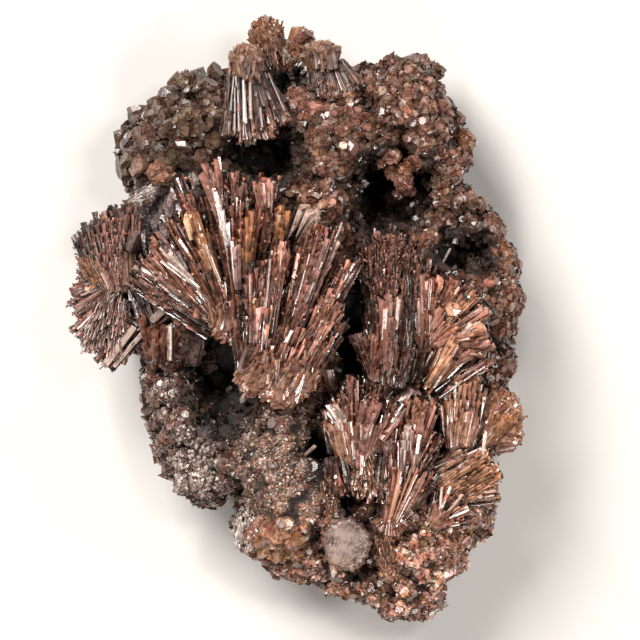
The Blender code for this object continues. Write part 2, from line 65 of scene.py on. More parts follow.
class Tint(Enum):
    """Body colours of the crystals and the rock; BLACK_BROWN also serves as painted shade, and
    WHITE and PALE as painted highlights.
    """

    BROWN = (0.118, 0.042, 0.025)
    ROSY = (0.200, 0.090, 0.067)
    ORANGE = (0.215, 0.090, 0.040)
    VIOLET_GREY = (0.115, 0.070, 0.064)
    DARK_RED = (0.050, 0.010, 0.006)
    PALE = (0.36, 0.26, 0.22)
    TAN = (0.235, 0.115, 0.068)
    OLIVE = (0.100, 0.058, 0.031)
    LAVENDER = (0.23, 0.165, 0.16)
    CREAM = (0.50, 0.35, 0.22)
    GREY = (0.115, 0.100, 0.103)
    BLACK_BROWN = (0.022, 0.013, 0.010)
    WHITE = (0.62, 0.55, 0.51)


@dataclass(frozen=True)
class Hues:
    """A mixture of body colours, each with its share."""

    parts: tuple[tuple[Tint, float], ...]
    spread: float = 0.2

    def draw(self, count: int, chance: Chance) -> Array:
        """Draw body colours from the mixture.

        Args:
            count: how many colours to draw.
            chance: source of the random draws.

        Returns:
            One colour in each row.
        """
        shares = np.array([share for _, share in self.parts])
        picked = chance.choice(len(self.parts), size=count, p=shares / shares.sum())
        colours = np.array([tint.value for tint, _ in self.parts])[picked]
        bright = np.exp(chance.normal(0.0, self.spread, (count, 1)))
        return colours * bright * (1 + chance.normal(0.0, 0.04, (count, 3)))


@dataclass(frozen=True)
class Profile:
    """Shape of a crystal along its axis, as rings and an end.

    Each ring has its share of the length and of the width. Without an end of its own the crystal
    is cut flat at its last ring.
    """

    rings: tuple[tuple[float, float], ...]
    end: float | None = None


class Habit(Enum):
    """Shapes that the crystals take."""

    COLUMN = Profile(((0.0, 0.7), (1.0, 0.9)))
    TAPERED = Profile(((0.0, 0.5), (0.72, 1.0), (0.97, 0.42)), 1.0)
    PRISM = Profile(((0.0, 0.92), (0.985, 1.0), (1.0, 0.88)))
    BARREL = Profile(((0.0, 0.6), (0.6, 1.0), (0.97, 0.8)), 0.92)
    SPINDLE = Profile(((0.06, 0.8), (0.3, 1.0), (0.97, 0.75)))
    CHIP = Profile(((1.0, 1.0),))
    GRAIN = Profile(((0.55, 1.0),), 1.0)


@dataclass(frozen=True)
class Spot:
    """An ellipse on the specimen, seen from above, that fades from its middle."""

    x: float
    y: float
    amount: float
    half_width: float
    half_length: float
    turn: float = 0.0

    def strength(self, x: Array, y: Array, power: float = 1.0) -> Array:
        """Give the spot's strength at some places.

        Args:
            x: places to the right.
            y: places to the top.
            power: more than 1 gives a flatter middle and a steeper edge.

        Returns:
            Values from 0 far away to 1 at the middle.
        """
        angle = math.radians(self.turn)
        dx = x - self.x
        dy = y - self.y
        along = (dx * math.cos(angle) + dy * math.sin(angle)) / self.half_width
        across = (dy * math.cos(angle) - dx * math.sin(angle)) / self.half_length
        return np.exp(-((along * along + across * across) ** power))


def wander(x: Array, y: Array, z: Array | float, size: float) -> Array:
    """Give smooth random values from about -1 to 1.

    Args:
        x: places to the right.
        y: places to the top.
        z: heights, or one layer for all places.
        size: distance over which the values change.

    Returns:
        One value for each place.
    """
    z = np.broadcast_to(z, np.shape(x))
    return np.array([noise.noise(point) for point in zip(x / size, y / size, z, strict=True)])


def lumps(points: Array, size: float) -> Array:
    """Give the height of rounded lumps that stand side by side.

    Args:
        points: places, one in each row.
        size: usual distance between two lumps.

    Returns:
        Values from 0 between the lumps to about 1 on top of them.
    """
    fall = 2.0
    nearest = np.array([noise.voronoi(point)[0][0] for point in points / size])
    return np.sqrt(np.clip(1 - nearest * nearest * fall, 0, 1))


def unit(rows: Array) -> Array:
    """Give each row the length 1."""
    return rows / np.maximum(np.linalg.norm(rows, axis=1, keepdims=True), TINY)


def frames(axis: Array) -> tuple[Array, Array]:
    """Give two directions square to each axis and to each other."""
    nearly_upright = 0.9
    way = unit(axis)
    flat = np.abs(way[:, 2:3]) < nearly_upright
    helper = np.where(flat, np.array([[0.0, 0.0, 1.0]]), np.array([[1.0, 0.0, 0.0]]))
    side = unit(np.cross(helper, way))
    return side, np.cross(way, side)


def around(angle: Array, radius: Array | float, side: Array, across: Array) -> Array:
    """Give offsets from an axis.

    Args:
        angle: how far round it each lies, in radians, one in each row.
        radius: how far from it each lies.
        side: a direction square to it.
        across: the direction square to both.

    Returns:
        One offset in each row.
    """
    return np.cos(angle) * radius * side + np.sin(angle) * radius * across


def direction(azimuth: float, lift: float) -> Array:
    """Give the unit vector at an azimuth and a lift, both in degrees."""
    turn = math.radians(azimuth)
    rise = math.radians(lift)
    level = math.cos(rise)
    return np.array([math.cos(turn) * level, math.sin(turn) * level, math.sin(rise)])


def turned(axis: int, angle: float) -> Array:
    """Give the turn about one axis, counted from X, by an angle in radians."""
    first, second = (axis + 1) % 3, (axis + 2) % 3
    turn = np.eye(3)
    turn[first, first] = turn[second, second] = math.cos(angle)
    turn[second, first] = math.sin(angle)
    turn[first, second] = -math.sin(angle)
    return turn


def read_along(values: tuple[float, ...], share: float) -> float:
    """Read a short list of values at a share of its length."""
    place = share * (len(values) - 1)
    index = min(int(place), len(values) - 2)
    return values[index] + (values[index + 1] - values[index]) * (place - index)


class Signal:
    """A value in a material, which adds its maths nodes as it is used in an expression."""

    def __init__(self, board: "Board", socket: bpy.types.NodeSocket) -> None:
        """Wrap a socket of the board."""
        self.board = board
        self.socket = socket

    def maths(self, operation: str, first: "Signal | float", second: "Signal | float") -> "Signal":
        """Add one maths node.

        Args:
            operation: what the node works out.
            first: its first value.
            second: its second value.

        Returns:
            The node's result.
        """
        node = self.board.node("ShaderNodeMath", {"operation": operation}, {0: first, 1: second})
        return Signal(self.board, node.outputs[0])

    def __add__(self, other: "Signal | float") -> "Signal":
        """Add two values."""
        return self.maths("ADD", self, other)

    def __radd__(self, other: float) -> "Signal":
        """Add this value to a number."""
        return self.maths("ADD", other, self)

    def __sub__(self, other: "Signal | float") -> "Signal":
        """Take a value from this one."""
        return self.maths("SUBTRACT", self, other)

    def __rsub__(self, other: float) -> "Signal":
        """Take this value from a number."""
        return self.maths("SUBTRACT", other, self)

    def __mul__(self, other: "Signal | float") -> "Signal":
        """Multiply two values."""
        return self.maths("MULTIPLY", self, other)

    def __rmul__(self, other: float) -> "Signal":
        """Multiply a number by this value."""
        return self.maths("MULTIPLY", other, self)


class Board:
    """The nodes of one material."""

    def __init__(self, name: str) -> None:
        """Make the material with its principled shader."""
        self.material = bpy.data.materials.new(name)
        self.material.use_nodes = True
        self.nodes = self.material.node_tree.nodes
        self.shader = self.nodes["Principled BSDF"]

    def node(self, kind: str, settings: dict | None = None,
             inputs: dict | None = None) -> bpy.types.Node:
        """Add a node.

        Args:
            kind: the node's type.
            settings: its own settings, set first; "stops" are a ramp's places and colours.
            inputs: values or links for its sockets, by name or number.

        Returns:
            The new node.
        """
        made = self.nodes.new(kind)
        for key, value in (settings or {}).items():
            if key == "stops":
                self.set_stops(made.color_ramp, value)
            else:
                setattr(made, key, value)
        self.connect(made, inputs or {})
        return made

    def set_stops(self, ramp: bpy.types.ColorRamp, stops: tuple[tuple[float, Colour], ...]) -> None:
        """Set a ramp's places and colours."""
        while len(ramp.elements) < len(stops):
            ramp.elements.new(0.5)
        for element, (place, colour) in zip(ramp.elements, stops, strict=True):
            element.position = place
            element.color = (*colour, 1.0)

    def connect(self, node: bpy.types.Node, inputs: dict) -> None:
        """Give values or links to a node's sockets."""
        for key, value in inputs.items():
            socket = node.inputs[key]
            if isinstance(value, Signal):
                self.material.node_tree.links.new(value.socket, socket)
            elif isinstance(value, tuple) and len(value) == 3 and socket.type == "RGBA":
                socket.default_value = (*value, 1.0)
            else:
                socket.default_value = value

    def attribute(self, name: str, output: str) -> Signal:
        """Read what the mesh holds under a name."""
        node = self.node("ShaderNodeAttribute", {"attribute_name": name})
        return Signal(self, node.outputs[output])

    def place(self) -> Signal:
        """Give the place on the specimen, in millimetres."""
        source = self.node("ShaderNodeTexCoord")
        return self.stretched(Signal(self, source.outputs["Object"]), (1 / MM, 1 / MM, 1 / MM))

    def stretched(self, vector: Signal, scale: Point) -> Signal:
        """Multiply a vector by three numbers."""
        node = self.node("ShaderNodeVectorMath", {"operation": "MULTIPLY"}, {0: vector, 1: scale})
        return Signal(self, node.outputs[0])

    def noise(self, vector: Signal, scale: float, detail: float = 2.0,
              rough: float = 0.5) -> Signal:
        """Give smooth random values.

        Args:
            vector: where the values are read.
            scale: how many changes there are to a unit.
            detail: how many finer layers are added.
            rough: how strong the finer layers are.

        Returns:
            Values round 0.5.
        """
        inputs = {"Vector": vector, "Scale": scale, "Detail": detail, "Roughness": rough}
        return Signal(self, self.node("ShaderNodeTexNoise", None, inputs).outputs["Fac"])

    def ramp(self, value: Signal, low: float, high: float) -> Signal:
        """Stretch values between two limits to the range from 0 to 1."""
        inputs = {"Value": value, "From Min": low, "From Max": high}
        node = self.node("ShaderNodeMapRange", {"clamp": True}, inputs)
        return Signal(self, node.outputs["Result"])

    def mix(self, factor: Signal | float, first: Signal | Colour, second: Signal | Colour,
            blend: str = "MIX") -> Signal:
        """Mix two colours.

        Args:
            factor: how much of the second colour there is.
            first: the colour at 0.
            second: the colour at 1.
            blend: how the second is laid on the first.

        Returns:
            The mixed colour.
        """
        settings = {"data_type": "RGBA", "blend_type": blend}
        node = self.node("ShaderNodeMix", settings, {0: factor, 6: first, 7: second})
        return Signal(self, node.outputs[2])

    def bump(self, height: Signal, strength: float, distance: float) -> Signal:
        """Turn heights into a bent normal; the distance is in millimetres."""
        inputs = {"Height": height, "Strength": strength, "Distance": distance * MM}
        return Signal(self, self.node("ShaderNodeBump", None, inputs).outputs["Normal"])


@dataclass(frozen=True)
class CrystalFinish:
    """Resinous crystal with fine grooves along it, coloured crystal by crystal."""

    name: str
    roughness: float = 0.12
    roughness_spread: float = 0.22
    groove_across: float = 5.0
    groove_along: float = 0.1
    groove_depth: float = 0.05
    glow: float = 0.15
    glow_depth: float = 0.0012
    glow_colour: Colour = (1.0, 0.32, 0.16)
    refraction: float = 1.8
    darkening: Colour = (0.12, 0.06, 0.04)
    pale_colour: Colour = (0.68, 0.42, 0.33)
    paleness: float = 0.2

    def material(self) -> Material:
        """Make the material."""
        board = Board(self.name)
        tint = board.attribute("tint", "Color")
        grain = board.attribute("grain", "Vector")
        across = self.groove_across
        grooves = board.stretched(grain, (across, across, self.groove_along))
        streaks = board.noise(grooves, 1.0, 2.0, 0.55)
        blotches = board.noise(board.place(), 1.1, 3.0, 0.6)
        grit = board.noise(board.place(), 6.0, 3.0, 0.7)
        dark = board.mix(1.0, tint, self.darkening, "MULTIPLY")
        pale = board.mix(self.paleness, tint, self.pale_colour)
        clouds = streaks * 0.35 + blotches * 0.4 + grit * 0.25
        body = board.mix(board.ramp(clouds, 0.4, 0.5), dark, tint)
        colour = board.mix(board.ramp(clouds, 0.53, 0.62), body, pale)
        roughness = self.roughness + self.roughness_spread * board.ramp(blotches, 0.35, 0.7)
        board.connect(board.shader, {
            "Base Color": colour,
            "Roughness": roughness,
            "Normal": board.bump(streaks * 0.8 + grit * 0.25, 0.8, self.groove_depth),
            "IOR": self.refraction,
            "Subsurface Weight": self.glow,
            "Subsurface Radius": self.glow_colour,
            "Subsurface Scale": self.glow_depth,
        })
        return board.material


@dataclass(frozen=True)
class GrainFinish:
    """Sugary crust of small crystals, coloured crystal by crystal."""

    name: str
    roughness: float = 0.1
    roughness_spread: float = 0.24
    speck_size: float = 0.25
    refraction: float = 1.55
    glow: float = 0.08
    glow_depth: float = 0.0008
    glow_colour: Colour = (1.0, 0.4, 0.25)
    darkening: Colour = (0.22, 0.14, 0.11)
    pale_colour: Colour = (0.66, 0.44, 0.34)
    paleness: float = 0.1
    pale: float = 0.1

    def material(self) -> Material:
        """Make the material."""
        board = Board(self.name)
        place = board.place()
        tint = board.attribute("tint", "Color")
        specks = board.noise(place, 1.0 / self.speck_size, 3.0, 0.65)
        blotches = board.noise(place, 0.7, 2.0)
        dark = board.mix(1.0, tint, self.darkening, "MULTIPLY")
        dark = board.mix(self.pale, dark, tint)
        pale = board.mix(self.paleness, tint, self.pale_colour)
        colour = board.mix(board.ramp(specks * 0.55 + blotches * 0.45, 0.42, 0.6), dark, pale)
        board.connect(board.shader, {
            "Base Color": colour,
            "Roughness": self.roughness + self.roughness_spread * board.ramp(blotches, 0.35, 0.65),
            "Normal": board.bump(specks, 0.6, 0.05),
            "IOR": self.refraction,
            "Subsurface Weight": self.glow,
            "Subsurface Radius": self.glow_colour,
            "Subsurface Scale": self.glow_depth,
        })
        return board.material


@dataclass(frozen=True)
class RockFinish:
    """Bare broken rock, with painted shade in its hollows and between its lumps carried in the
    tint.
    """

    name: str = "broken_rock"
    roughness: float = 0.62
    roughness_spread: float = 0.3
    refraction: float = 1.6
    darkening: Colour = (0.45, 0.38, 0.36)
    lightening: Colour = (1.5, 1.4, 1.35)

    def material(self) -> Material:
        """Make the material."""
        board = Board(self.name)
        place = board.place()
        tint = board.attribute("tint", "Color")
        coarse = board.noise(place, 0.8, 4.0, 0.6)
        fine = board.noise(place, 4.5, 3.0, 0.65)
        dark = board.mix(1.0, tint, self.darkening, "MULTIPLY")
        pale = board.mix(0.8, tint, self.lightening, "MULTIPLY")
        colour = board.mix(board.ramp(coarse * 0.5 + fine * 0.5, 0.4, 0.62), dark, pale)
        board.connect(board.shader, {
            "Base Color": colour,
            "Roughness": self.roughness - self.roughness_spread * board.ramp(fine, 0.5, 0.7),
            "Normal": board.bump(coarse * 0.5 + fine, 0.9, 0.35),
            "IOR": self.refraction,
        })
        return board.material


@dataclass(frozen=True)
class ClearFinish:
    """Clear, see-through crystal."""

    name: str
    colour: Colour = (0.93, 0.92, 0.9)
    veil_colour: Colour = (0.7, 0.66, 0.64)
    roughness: float = 0.12
    roughness_spread: float = 0.25
    refraction: float = 1.55

    def material(self) -> Material:
        """Make the material."""
        board = Board(self.name)
        veils = board.noise(board.place(), 2.2, 3.0, 0.6)
        colour = board.mix(board.ramp(veils, 0.35, 0.7), self.colour, self.veil_colour)
        board.connect(board.shader, {
            "Base Color": colour,
            "Roughness": self.roughness + self.roughness_spread * board.ramp(veils, 0.5, 0.75),
            "Transmission Weight": 1.0,
            "IOR": self.refraction,
        })
        return board.material


@dataclass(frozen=True)
class FloorFinish:
    """Plain pale table surface."""

    name: str = "pale_floor"
    colour: Colour = (0.5, 0.49, 0.475)

    def material(self) -> Material:
        """Make the material."""
        board = Board(self.name)
        mottle = board.noise(board.place(), 0.02, 2.0)
        dimmer = tuple(value * 0.97 for value in self.colour)
        board.connect(board.shader, {
            "Base Color": board.mix(mottle, self.colour, dimmer),
            "Roughness": 0.85 + 0.1 * mottle,
        })
        return board.material


TIP_TILT = 0.25
GRAIN_RANGE = 40
SHADE_CURVE = 0.8


class MeshStock:
    """Faces and points of one piece, gathered before they become its mesh."""

    def __init__(self) -> None:
        """Start with nothing."""
        self.points: list[Array] = []
        self.tints: list[Array] = []
        self.grains: list[Array] = []
        self.loops: list[Array] = []
        self.sizes: list[Array] = []
        self.count = 0

    def add(self, points: Array, tints: Array, grains: Array, loops: Array, sizes: Array) -> None:
        """Add points and faces.

        Args:
            points: places in millimetres.
            tints: colour of each point: body colour with painted shade and painted light multiplied
                in.
            grains: each point's place along and across its own crystal.
            loops: the faces' corners, one after the other.
            sizes: how many corners each face has.
        """
        self.points.append(points)
        self.tints.append(tints)
        self.grains.append(grains)
        self.loops.append(loops + self.count)
        self.sizes.append(sizes)
        self.count += len(points)

    def grow(self, habit: Habit, foot: Array, tip: Array, width: Array, tint: Array,
             chance: Chance, foot_shade: float = 0.6, uneven: float = 0.12) -> None:
        """Add crystals.

        Args:
            habit: their shape.
            foot: where each begins.
            tip: where each ends.
            width: how wide each is.
            tint: colour of each: body colour, often with painted shade and painted light already in
                it.
            chance: source of the random draws.
            foot_shade: how dark the painted shade makes the foot, against the tip.
            uneven: how much a crystal's sides differ.
        """
        profile = habit.value
        count = len(foot)
        axis = tip - foot
        length = np.linalg.norm(axis, axis=1)
        side, across = frames(axis)
        corners = math.tau * np.arange(SIDES) / SIDES
        angles = chance.uniform(0, math.tau / SIDES, (count, 1)) + corners
        bulge = 1 + chance.uniform(-uneven, uneven, (count, SIDES))
        flat_x = np.cos(angles) * bulge
        flat_y = np.sin(angles) * bulge
        ring = flat_x[..., None] * side[:, None] + flat_y[..., None] * across[:, None]
        slender = (width / np.maximum(length, 1e-6))[:, None]
        tilt = chance.uniform(-TIP_TILT, TIP_TILT, (count, 1)) * flat_x * slender
        offset = chance.uniform(0, GRAIN_RANGE, (count, 1, 3))
        rows = [foot[:, None]]
        shades = [np.full((count, 1), foot_shade)]
        grains = [np.zeros((count, 1, 3))]
        for share, reach in profile.rings:
            radius = (reach * width / 2)[:, None]
            place = share + (tilt if share > 0.5 else 0.0 * tilt)
            rows.append(foot[:, None] + axis[:, None] * place[..., None] + ring * radius[..., None])
            shades.append(foot_shade + (1 - foot_shade) * np.clip(place, 0, 1) ** SHADE_CURVE)
            along = place * length[:, None]
            grains.append(np.stack([flat_x * radius, flat_y * radius, along], axis=2))
        if profile.end is not None:
            rows.append((foot + axis * profile.end)[:, None])
            shades.append(np.full((count, 1), 1.0))
            grains.append(np.stack([0 * length, 0 * length, length], axis=1)[:, None])
        # Painted shade: each crystal's colour darkens from its tip towards its foot.
        shade = np.concatenate(shades, axis=1)[..., None]
        points = np.concatenate(rows, axis=1)
        tints = tint[:, None] * shade
        loops, sizes = self.pattern(len(profile.rings), profile.end is None)
        steps = np.arange(count)[:, None] * points.shape[1]
        self.add(
            points.reshape(-1, 3), tints.reshape(-1, 3),
            (np.concatenate(grains, axis=1) + offset).reshape(-1, 3),
            (loops[None] + steps).ravel(), np.tile(sizes, count),
        )

    def pattern(self, rings: int, flat: bool) -> tuple[Array, Array]:
        """Give the faces of one crystal with some rings of points.

        Args:
            rings: how many rings it has.
            flat: whether its last ring is one flat face.

        Returns:
            The faces' corners, one after the other, and how many each face has.
        """
        loops: list[int] = []
        sizes: list[int] = []
        last = 1 + SIDES * rings
        for index in range(SIDES):
            after = (index + 1) % SIDES
            loops += [0, 1 + after, 1 + index]
            sizes.append(3)
            for ring in range(rings - 1):
                low = 1 + SIDES * ring
                high = low + SIDES
                loops += [low + index, low + after, high + after, high + index]
                sizes.append(4)
            if not flat:
                loops += [last - SIDES + index, last - SIDES + after, last]
                sizes.append(3)
        if flat:
            loops += range(last - SIDES, last)
            sizes.append(SIDES)
        return np.array(loops), np.array(sizes)

    def make(self, name: str, material: Material, nodes: tuple[str, ...],
             smooth: bool = False) -> Piece:
        """Turn the stock into a piece of the specimen.

        Args:
            name: the piece's name.
            material: its finish.
            nodes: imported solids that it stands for.
            smooth: whether its faces shade into each other.

        Returns:
            The piece.
        """
        points = np.concatenate(self.points) * MM
        loops = np.concatenate(self.loops).astype(np.int32)
        sizes = np.concatenate(self.sizes)
        starts = (np.cumsum(sizes) - sizes).astype(np.int32)
        mesh = bpy.data.meshes.new(name)
        mesh.vertices.add(len(points))
        mesh.vertices.foreach_set("co", points.astype(np.float32).ravel())
        mesh.loops.add(len(loops))
        mesh.loops.foreach_set("vertex_index", loops)
        mesh.polygons.add(len(starts))
        mesh.polygons.foreach_set("loop_start", starts)
        mesh.update(calc_edges=True)
        mesh.validate()
        if not smooth:
            mesh.shade_flat()
        # The tint attribute holds each point's body colour with the painted shade and painted light
        # multiplied in.
        tints = np.ones((len(points), 4), np.float32)
        tints[:, :3] = np.clip(np.concatenate(self.tints), 0, 1)
        held = mesh.attributes.new("tint", "FLOAT_COLOR", "POINT")
        held.data.foreach_set("color", tints.ravel())
        grains = np.concatenate(self.grains).astype(np.float32)
        held = mesh.attributes.new("grain", "FLOAT_VECTOR", "POINT")
        held.data.foreach_set("vector", grains.ravel())
        mesh.materials.append(material)
        piece = bpy.data.objects.new(name, mesh)
        bpy.context.scene.collection.objects.link(piece)
        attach(piece, "root")
        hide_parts(*nodes)
        LOG.info("%s: %d faces, %d triangles", name, len(sizes), int((sizes - 2).sum()))
        return piece


@dataclass(frozen=True)
class RockForm:
    """The rock's shape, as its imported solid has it."""

    outline: tuple[tuple[float, float], ...]
    humps: tuple[Spot, ...]
    pits: tuple[Spot, ...]
    breaks: tuple[tuple[float, float, float], ...]
    rim_height: float = 10.5
    rim_swing: float = 3.0
    rim_swing_size: float = 9.0
    plateau: float = 18.5
    front_round: float = 7.5
    back_round: float = 8.5
    bluntness: float = 2.5
    crag: float = 1.6
    crag_size: float = 4.2
    back_crag: float = 5.0
    break_stop: float = 2.0
    ripple: float = 2.2
    ripple_reach: float = 3.0
    ripple_size: float = 2.6

    def inset(self, x: Array, y: Array) -> Array:
        """Give the distance from places to the outline.

        Args:
            x: places to the right.
            y: places to the top.

        Returns:
            Distances, positive inside the outline and negative outside it.
        """
        corners = np.array(self.outline, float)
        run = np.roll(corners, -1, axis=0) - corners
        dx = x[:, None] - corners[:, 0]
        dy = y[:, None] - corners[:, 1]
        share = np.clip((dx * run[:, 0] + dy * run[:, 1]) / (run * run).sum(axis=1), 0, 1)
        nearest = np.hypot(dx - share * run[:, 0], dy - share * run[:, 1]).min(axis=1)
        rise = np.where(run[:, 1] == 0, TINY, run[:, 1])
        straddles = (corners[:, 1] > y[:, None]) != (np.roll(corners[:, 1], -1) > y[:, None])
        crossed = straddles & (dx < dy * run[:, 0] / rise)
        return np.where(crossed.sum(axis=1) % 2 == 1, nearest, -nearest)

    def rounded(self, depth: Array, reach: float) -> Array:
        """Give the rise of a rounded edge, from 0 at the rim to 1 where it ends."""
        share = np.clip(depth / reach, 0, 1)
        return (1 - (1 - share) ** self.bluntness) ** (1 / self.bluntness)

    def rim(self, x: Array, y: Array) -> Array:
        """Give the height of the line between the crystal side and the back."""
        return self.rim_height + self.rim_swing * wander(x, y, 3.0, self.rim_swing_size)

    def pit_strength(self, x: Array, y: Array, wider: float = 1.0) -> Array:
        """Give how much of a pit each place lies in, from 0 to 1."""
        total = np.zeros_like(x)
        for pit in self.pits:
            half = (pit.half_width * wider, pit.half_length * wider)
            grown = Spot(pit.x, pit.y, pit.amount, *half, pit.turn)
            total = np.maximum(total, grown.strength(x, y, FLAT_MIDDLE))
        return total

    def front(self, x: Array, y: Array) -> Array:
        """Give the height of the crystal side."""
        away = self.ripple * np.clip(self.inset(x, y) / self.ripple_reach, 0, 1)
        right = away * wander(x, y, 11.0, self.ripple_size)
        up = away * wander(x, y, 13.0, self.ripple_size)
        x, y = x + right, y + up
        level = self.plateau + self.crag * wander(x, y, 0.0, self.crag_size)
        for hump in self.humps:
            level = level + hump.amount * hump.strength(x, y)
        for pit in self.pits:
            level = level - pit.amount * pit.strength(x, y, FLAT_MIDDLE)
        rim = self.rim(x, y)
        return rim + (level - rim) * self.rounded(self.inset(x, y), self.front_round)

    def back(self, x: Array, y: Array) -> Array:
        """Give the height of the back."""
        fall = self.rounded(self.inset(x, y), self.back_round)
        rim = self.rim(x, y)
        bumps = self.back_crag * wander(x, y, 7.0, self.crag_size) * fall * (1 - fall)
        level = np.maximum(0.0, rim * (1 - fall) + bumps)
        for azimuth, start, slope in self.breaks:
            turn = math.radians(azimuth)
            reach = x * math.cos(turn) + y * math.sin(turn) - start
            cut = reach * math.tan(math.radians(slope))
            level = np.maximum(level, np.minimum(cut, rim - self.break_stop))
        return level

    def even_outline(self, step: float) -> list[tuple[float, float]]:
        """Give the outline's points, with more of them along its long sides."""
        points = []
        for start, end in zip(self.outline, self.outline[1:] + self.outline[:1], strict=True):
            parts = max(1, round(math.dist(start, end) / step))
            for index in range(parts):
                share = index / parts
                x = start[0] + (end[0] - start[0]) * share
                y = start[1] + (end[1] - start[1]) * share
                points.append((x, y))
        return points

    def lattice(self, step: float, margin: float) -> Array:
        """Give a triangular lattice of the points that lie in the outline, inside a margin."""
        corners = np.array(self.outline)
        low = corners.min(axis=0)
        high = corners.max(axis=0)
        row_step = step * math.sqrt(3) / 2
        rows = np.arange(int((high[1] - low[1]) / row_step) + 1)
        columns = np.arange(int((high[0] - low[0]) / step) + 1)
        row, column = np.meshgrid(rows, columns, indexing="ij")
        x = (low[0] + (column + row % 2 / 2) * step).ravel()
        y = (low[1] + row * row_step).ravel()
        keep = self.inset(x, y) > margin
        return np.stack([x[keep], y[keep]], axis=1)


FORM = RockForm(
    outline=(
        (-4, 33), (1, 33.5), (6.5, 32), (10.5, 34), (15.5, 34.3), (17.5, 34), (18.5, 29.5),
        (20.5, 27.5), (22.5, 23), (21.8, 18.5), (23, 16), (25.5, 14), (28.3, 8), (29, 3), (28, -2),
        (28.3, -4), (27.3, -8), (26.5, -14), (26, -18), (25, -22.4), (25.3, -27), (24, -28.7),
        (21.8, -29.4), (22, -32), (19.5, -34.5), (19, -37), (17, -38.7), (14, -39.3), (11, -38),
        (7.3, -36.4), (3.6, -35.2), (-2, -33), (-5.7, -30.3), (-7.7, -28.5), (-7.7, -25),
        (-7.2, -22), (-9.4, -23), (-11, -24.4), (-12.7, -24), (-14.8, -22.5), (-17.5, -19),
        (-19, -14), (-20.2, -9), (-19.4, -6), (-21.5, -2.5), (-24.3, 0.5), (-25.8, 4), (-26, 8),
        (-25, 11), (-22.6, 14.4), (-21.6, 17), (-22.8, 22), (-22.4, 25), (-19, 27.6), (-16, 30.2),
        (-14, 32.5), (-11.5, 31.7), (-8, 32),
    ),
    humps=(
        Spot(-2.5, -20.5, 6.5, 8.0, 9.5),
        Spot(-2.0, -11.0, 2.5, 5.0, 4.0),
        Spot(-14.5, -15.0, 2.0, 6.0, 8.5, 10),
        Spot(15.0, 27.0, 4.0, 8.0, 7.0),
        Spot(24.5, 14.0, 3.0, 5.0, 8.5, 20),
        Spot(-16.0, 24.5, 1.0, 7.5, 6.5),
        Spot(4.4, 18.5, 5.0, 4.5, 7.5, -10),
        Spot(15.0, -34.0, 1.5, 6.0, 6.0),
        Spot(-23.0, 6.0, -4.0, 5.5, 9.0),
        Spot(-18.5, 13.5, -2.0, 4.5, 4.5),
        Spot(13.0, -8.0, 2.0, 5.0, 9.0),
        Spot(-4.0, 7.0, 2.5, 7.0, 8.0, -15),
    ),
    pits=(
        Spot(-9.6, -7.2, 11.0, 4.6, 7.6),
        Spot(-3.6, 21.5, 11.0, 4.8, 4.2),
        Spot(12.2, 16.8, 14.0, 5.0, 5.6, -10),
        Spot(22.4, 9.0, 9.0, 3.6, 2.8, -20),
        Spot(8.0, 0.0, 7.0, 2.4, 8.5, -8),
        Spot(3.9, -17.2, 9.0, 2.2, 3.4),
        Spot(11.5, -19.5, 6.0, 1.9, 5.0),
        Spot(18.2, -15.0, 7.0, 2.0, 3.8, -10),
        Spot(-1.0, 31.0, 7.0, 2.2, 2.6),
        Spot(6.5, -23.1, 3.5, 1.2, 1.4),
        Spot(2.3, -27.8, 3.0, 1.1, 1.1),
        Spot(7.9, -32.9, 3.0, 1.4, 1.2),
        Spot(-18.2, 20.2, 3.0, 1.0, 0.9),
        Spot(9.2, 19.6, 4.0, 2.2, 2.0),
        Spot(-5.2, 24.0, 4.0, 2.0, 1.8),
    ),
    breaks=(
        (200, 9.0, 30), (250, 19.0, 34), (318, 19.0, 31),
        (18, 16.0, 32), (74, 21.0, 33), (132, 17.0, 31),
    ),
)


CRYSTAL_SIDE = 9.0
BARE = Spot(-18.2, 13.8, 1.0, 4.6, 4.4, 20)
PALE_ROCK = Spot(-6.6, -27.8, 1.0, 2.0, 3.0)
HONEY = Spot(-2.2, -28.6, 1.0, 3.4, 2.4)


@dataclass(frozen=True)
class ColourPatch:
    """A part of the rock with a body colour of its own."""

    tint: Tint
    spot: Spot


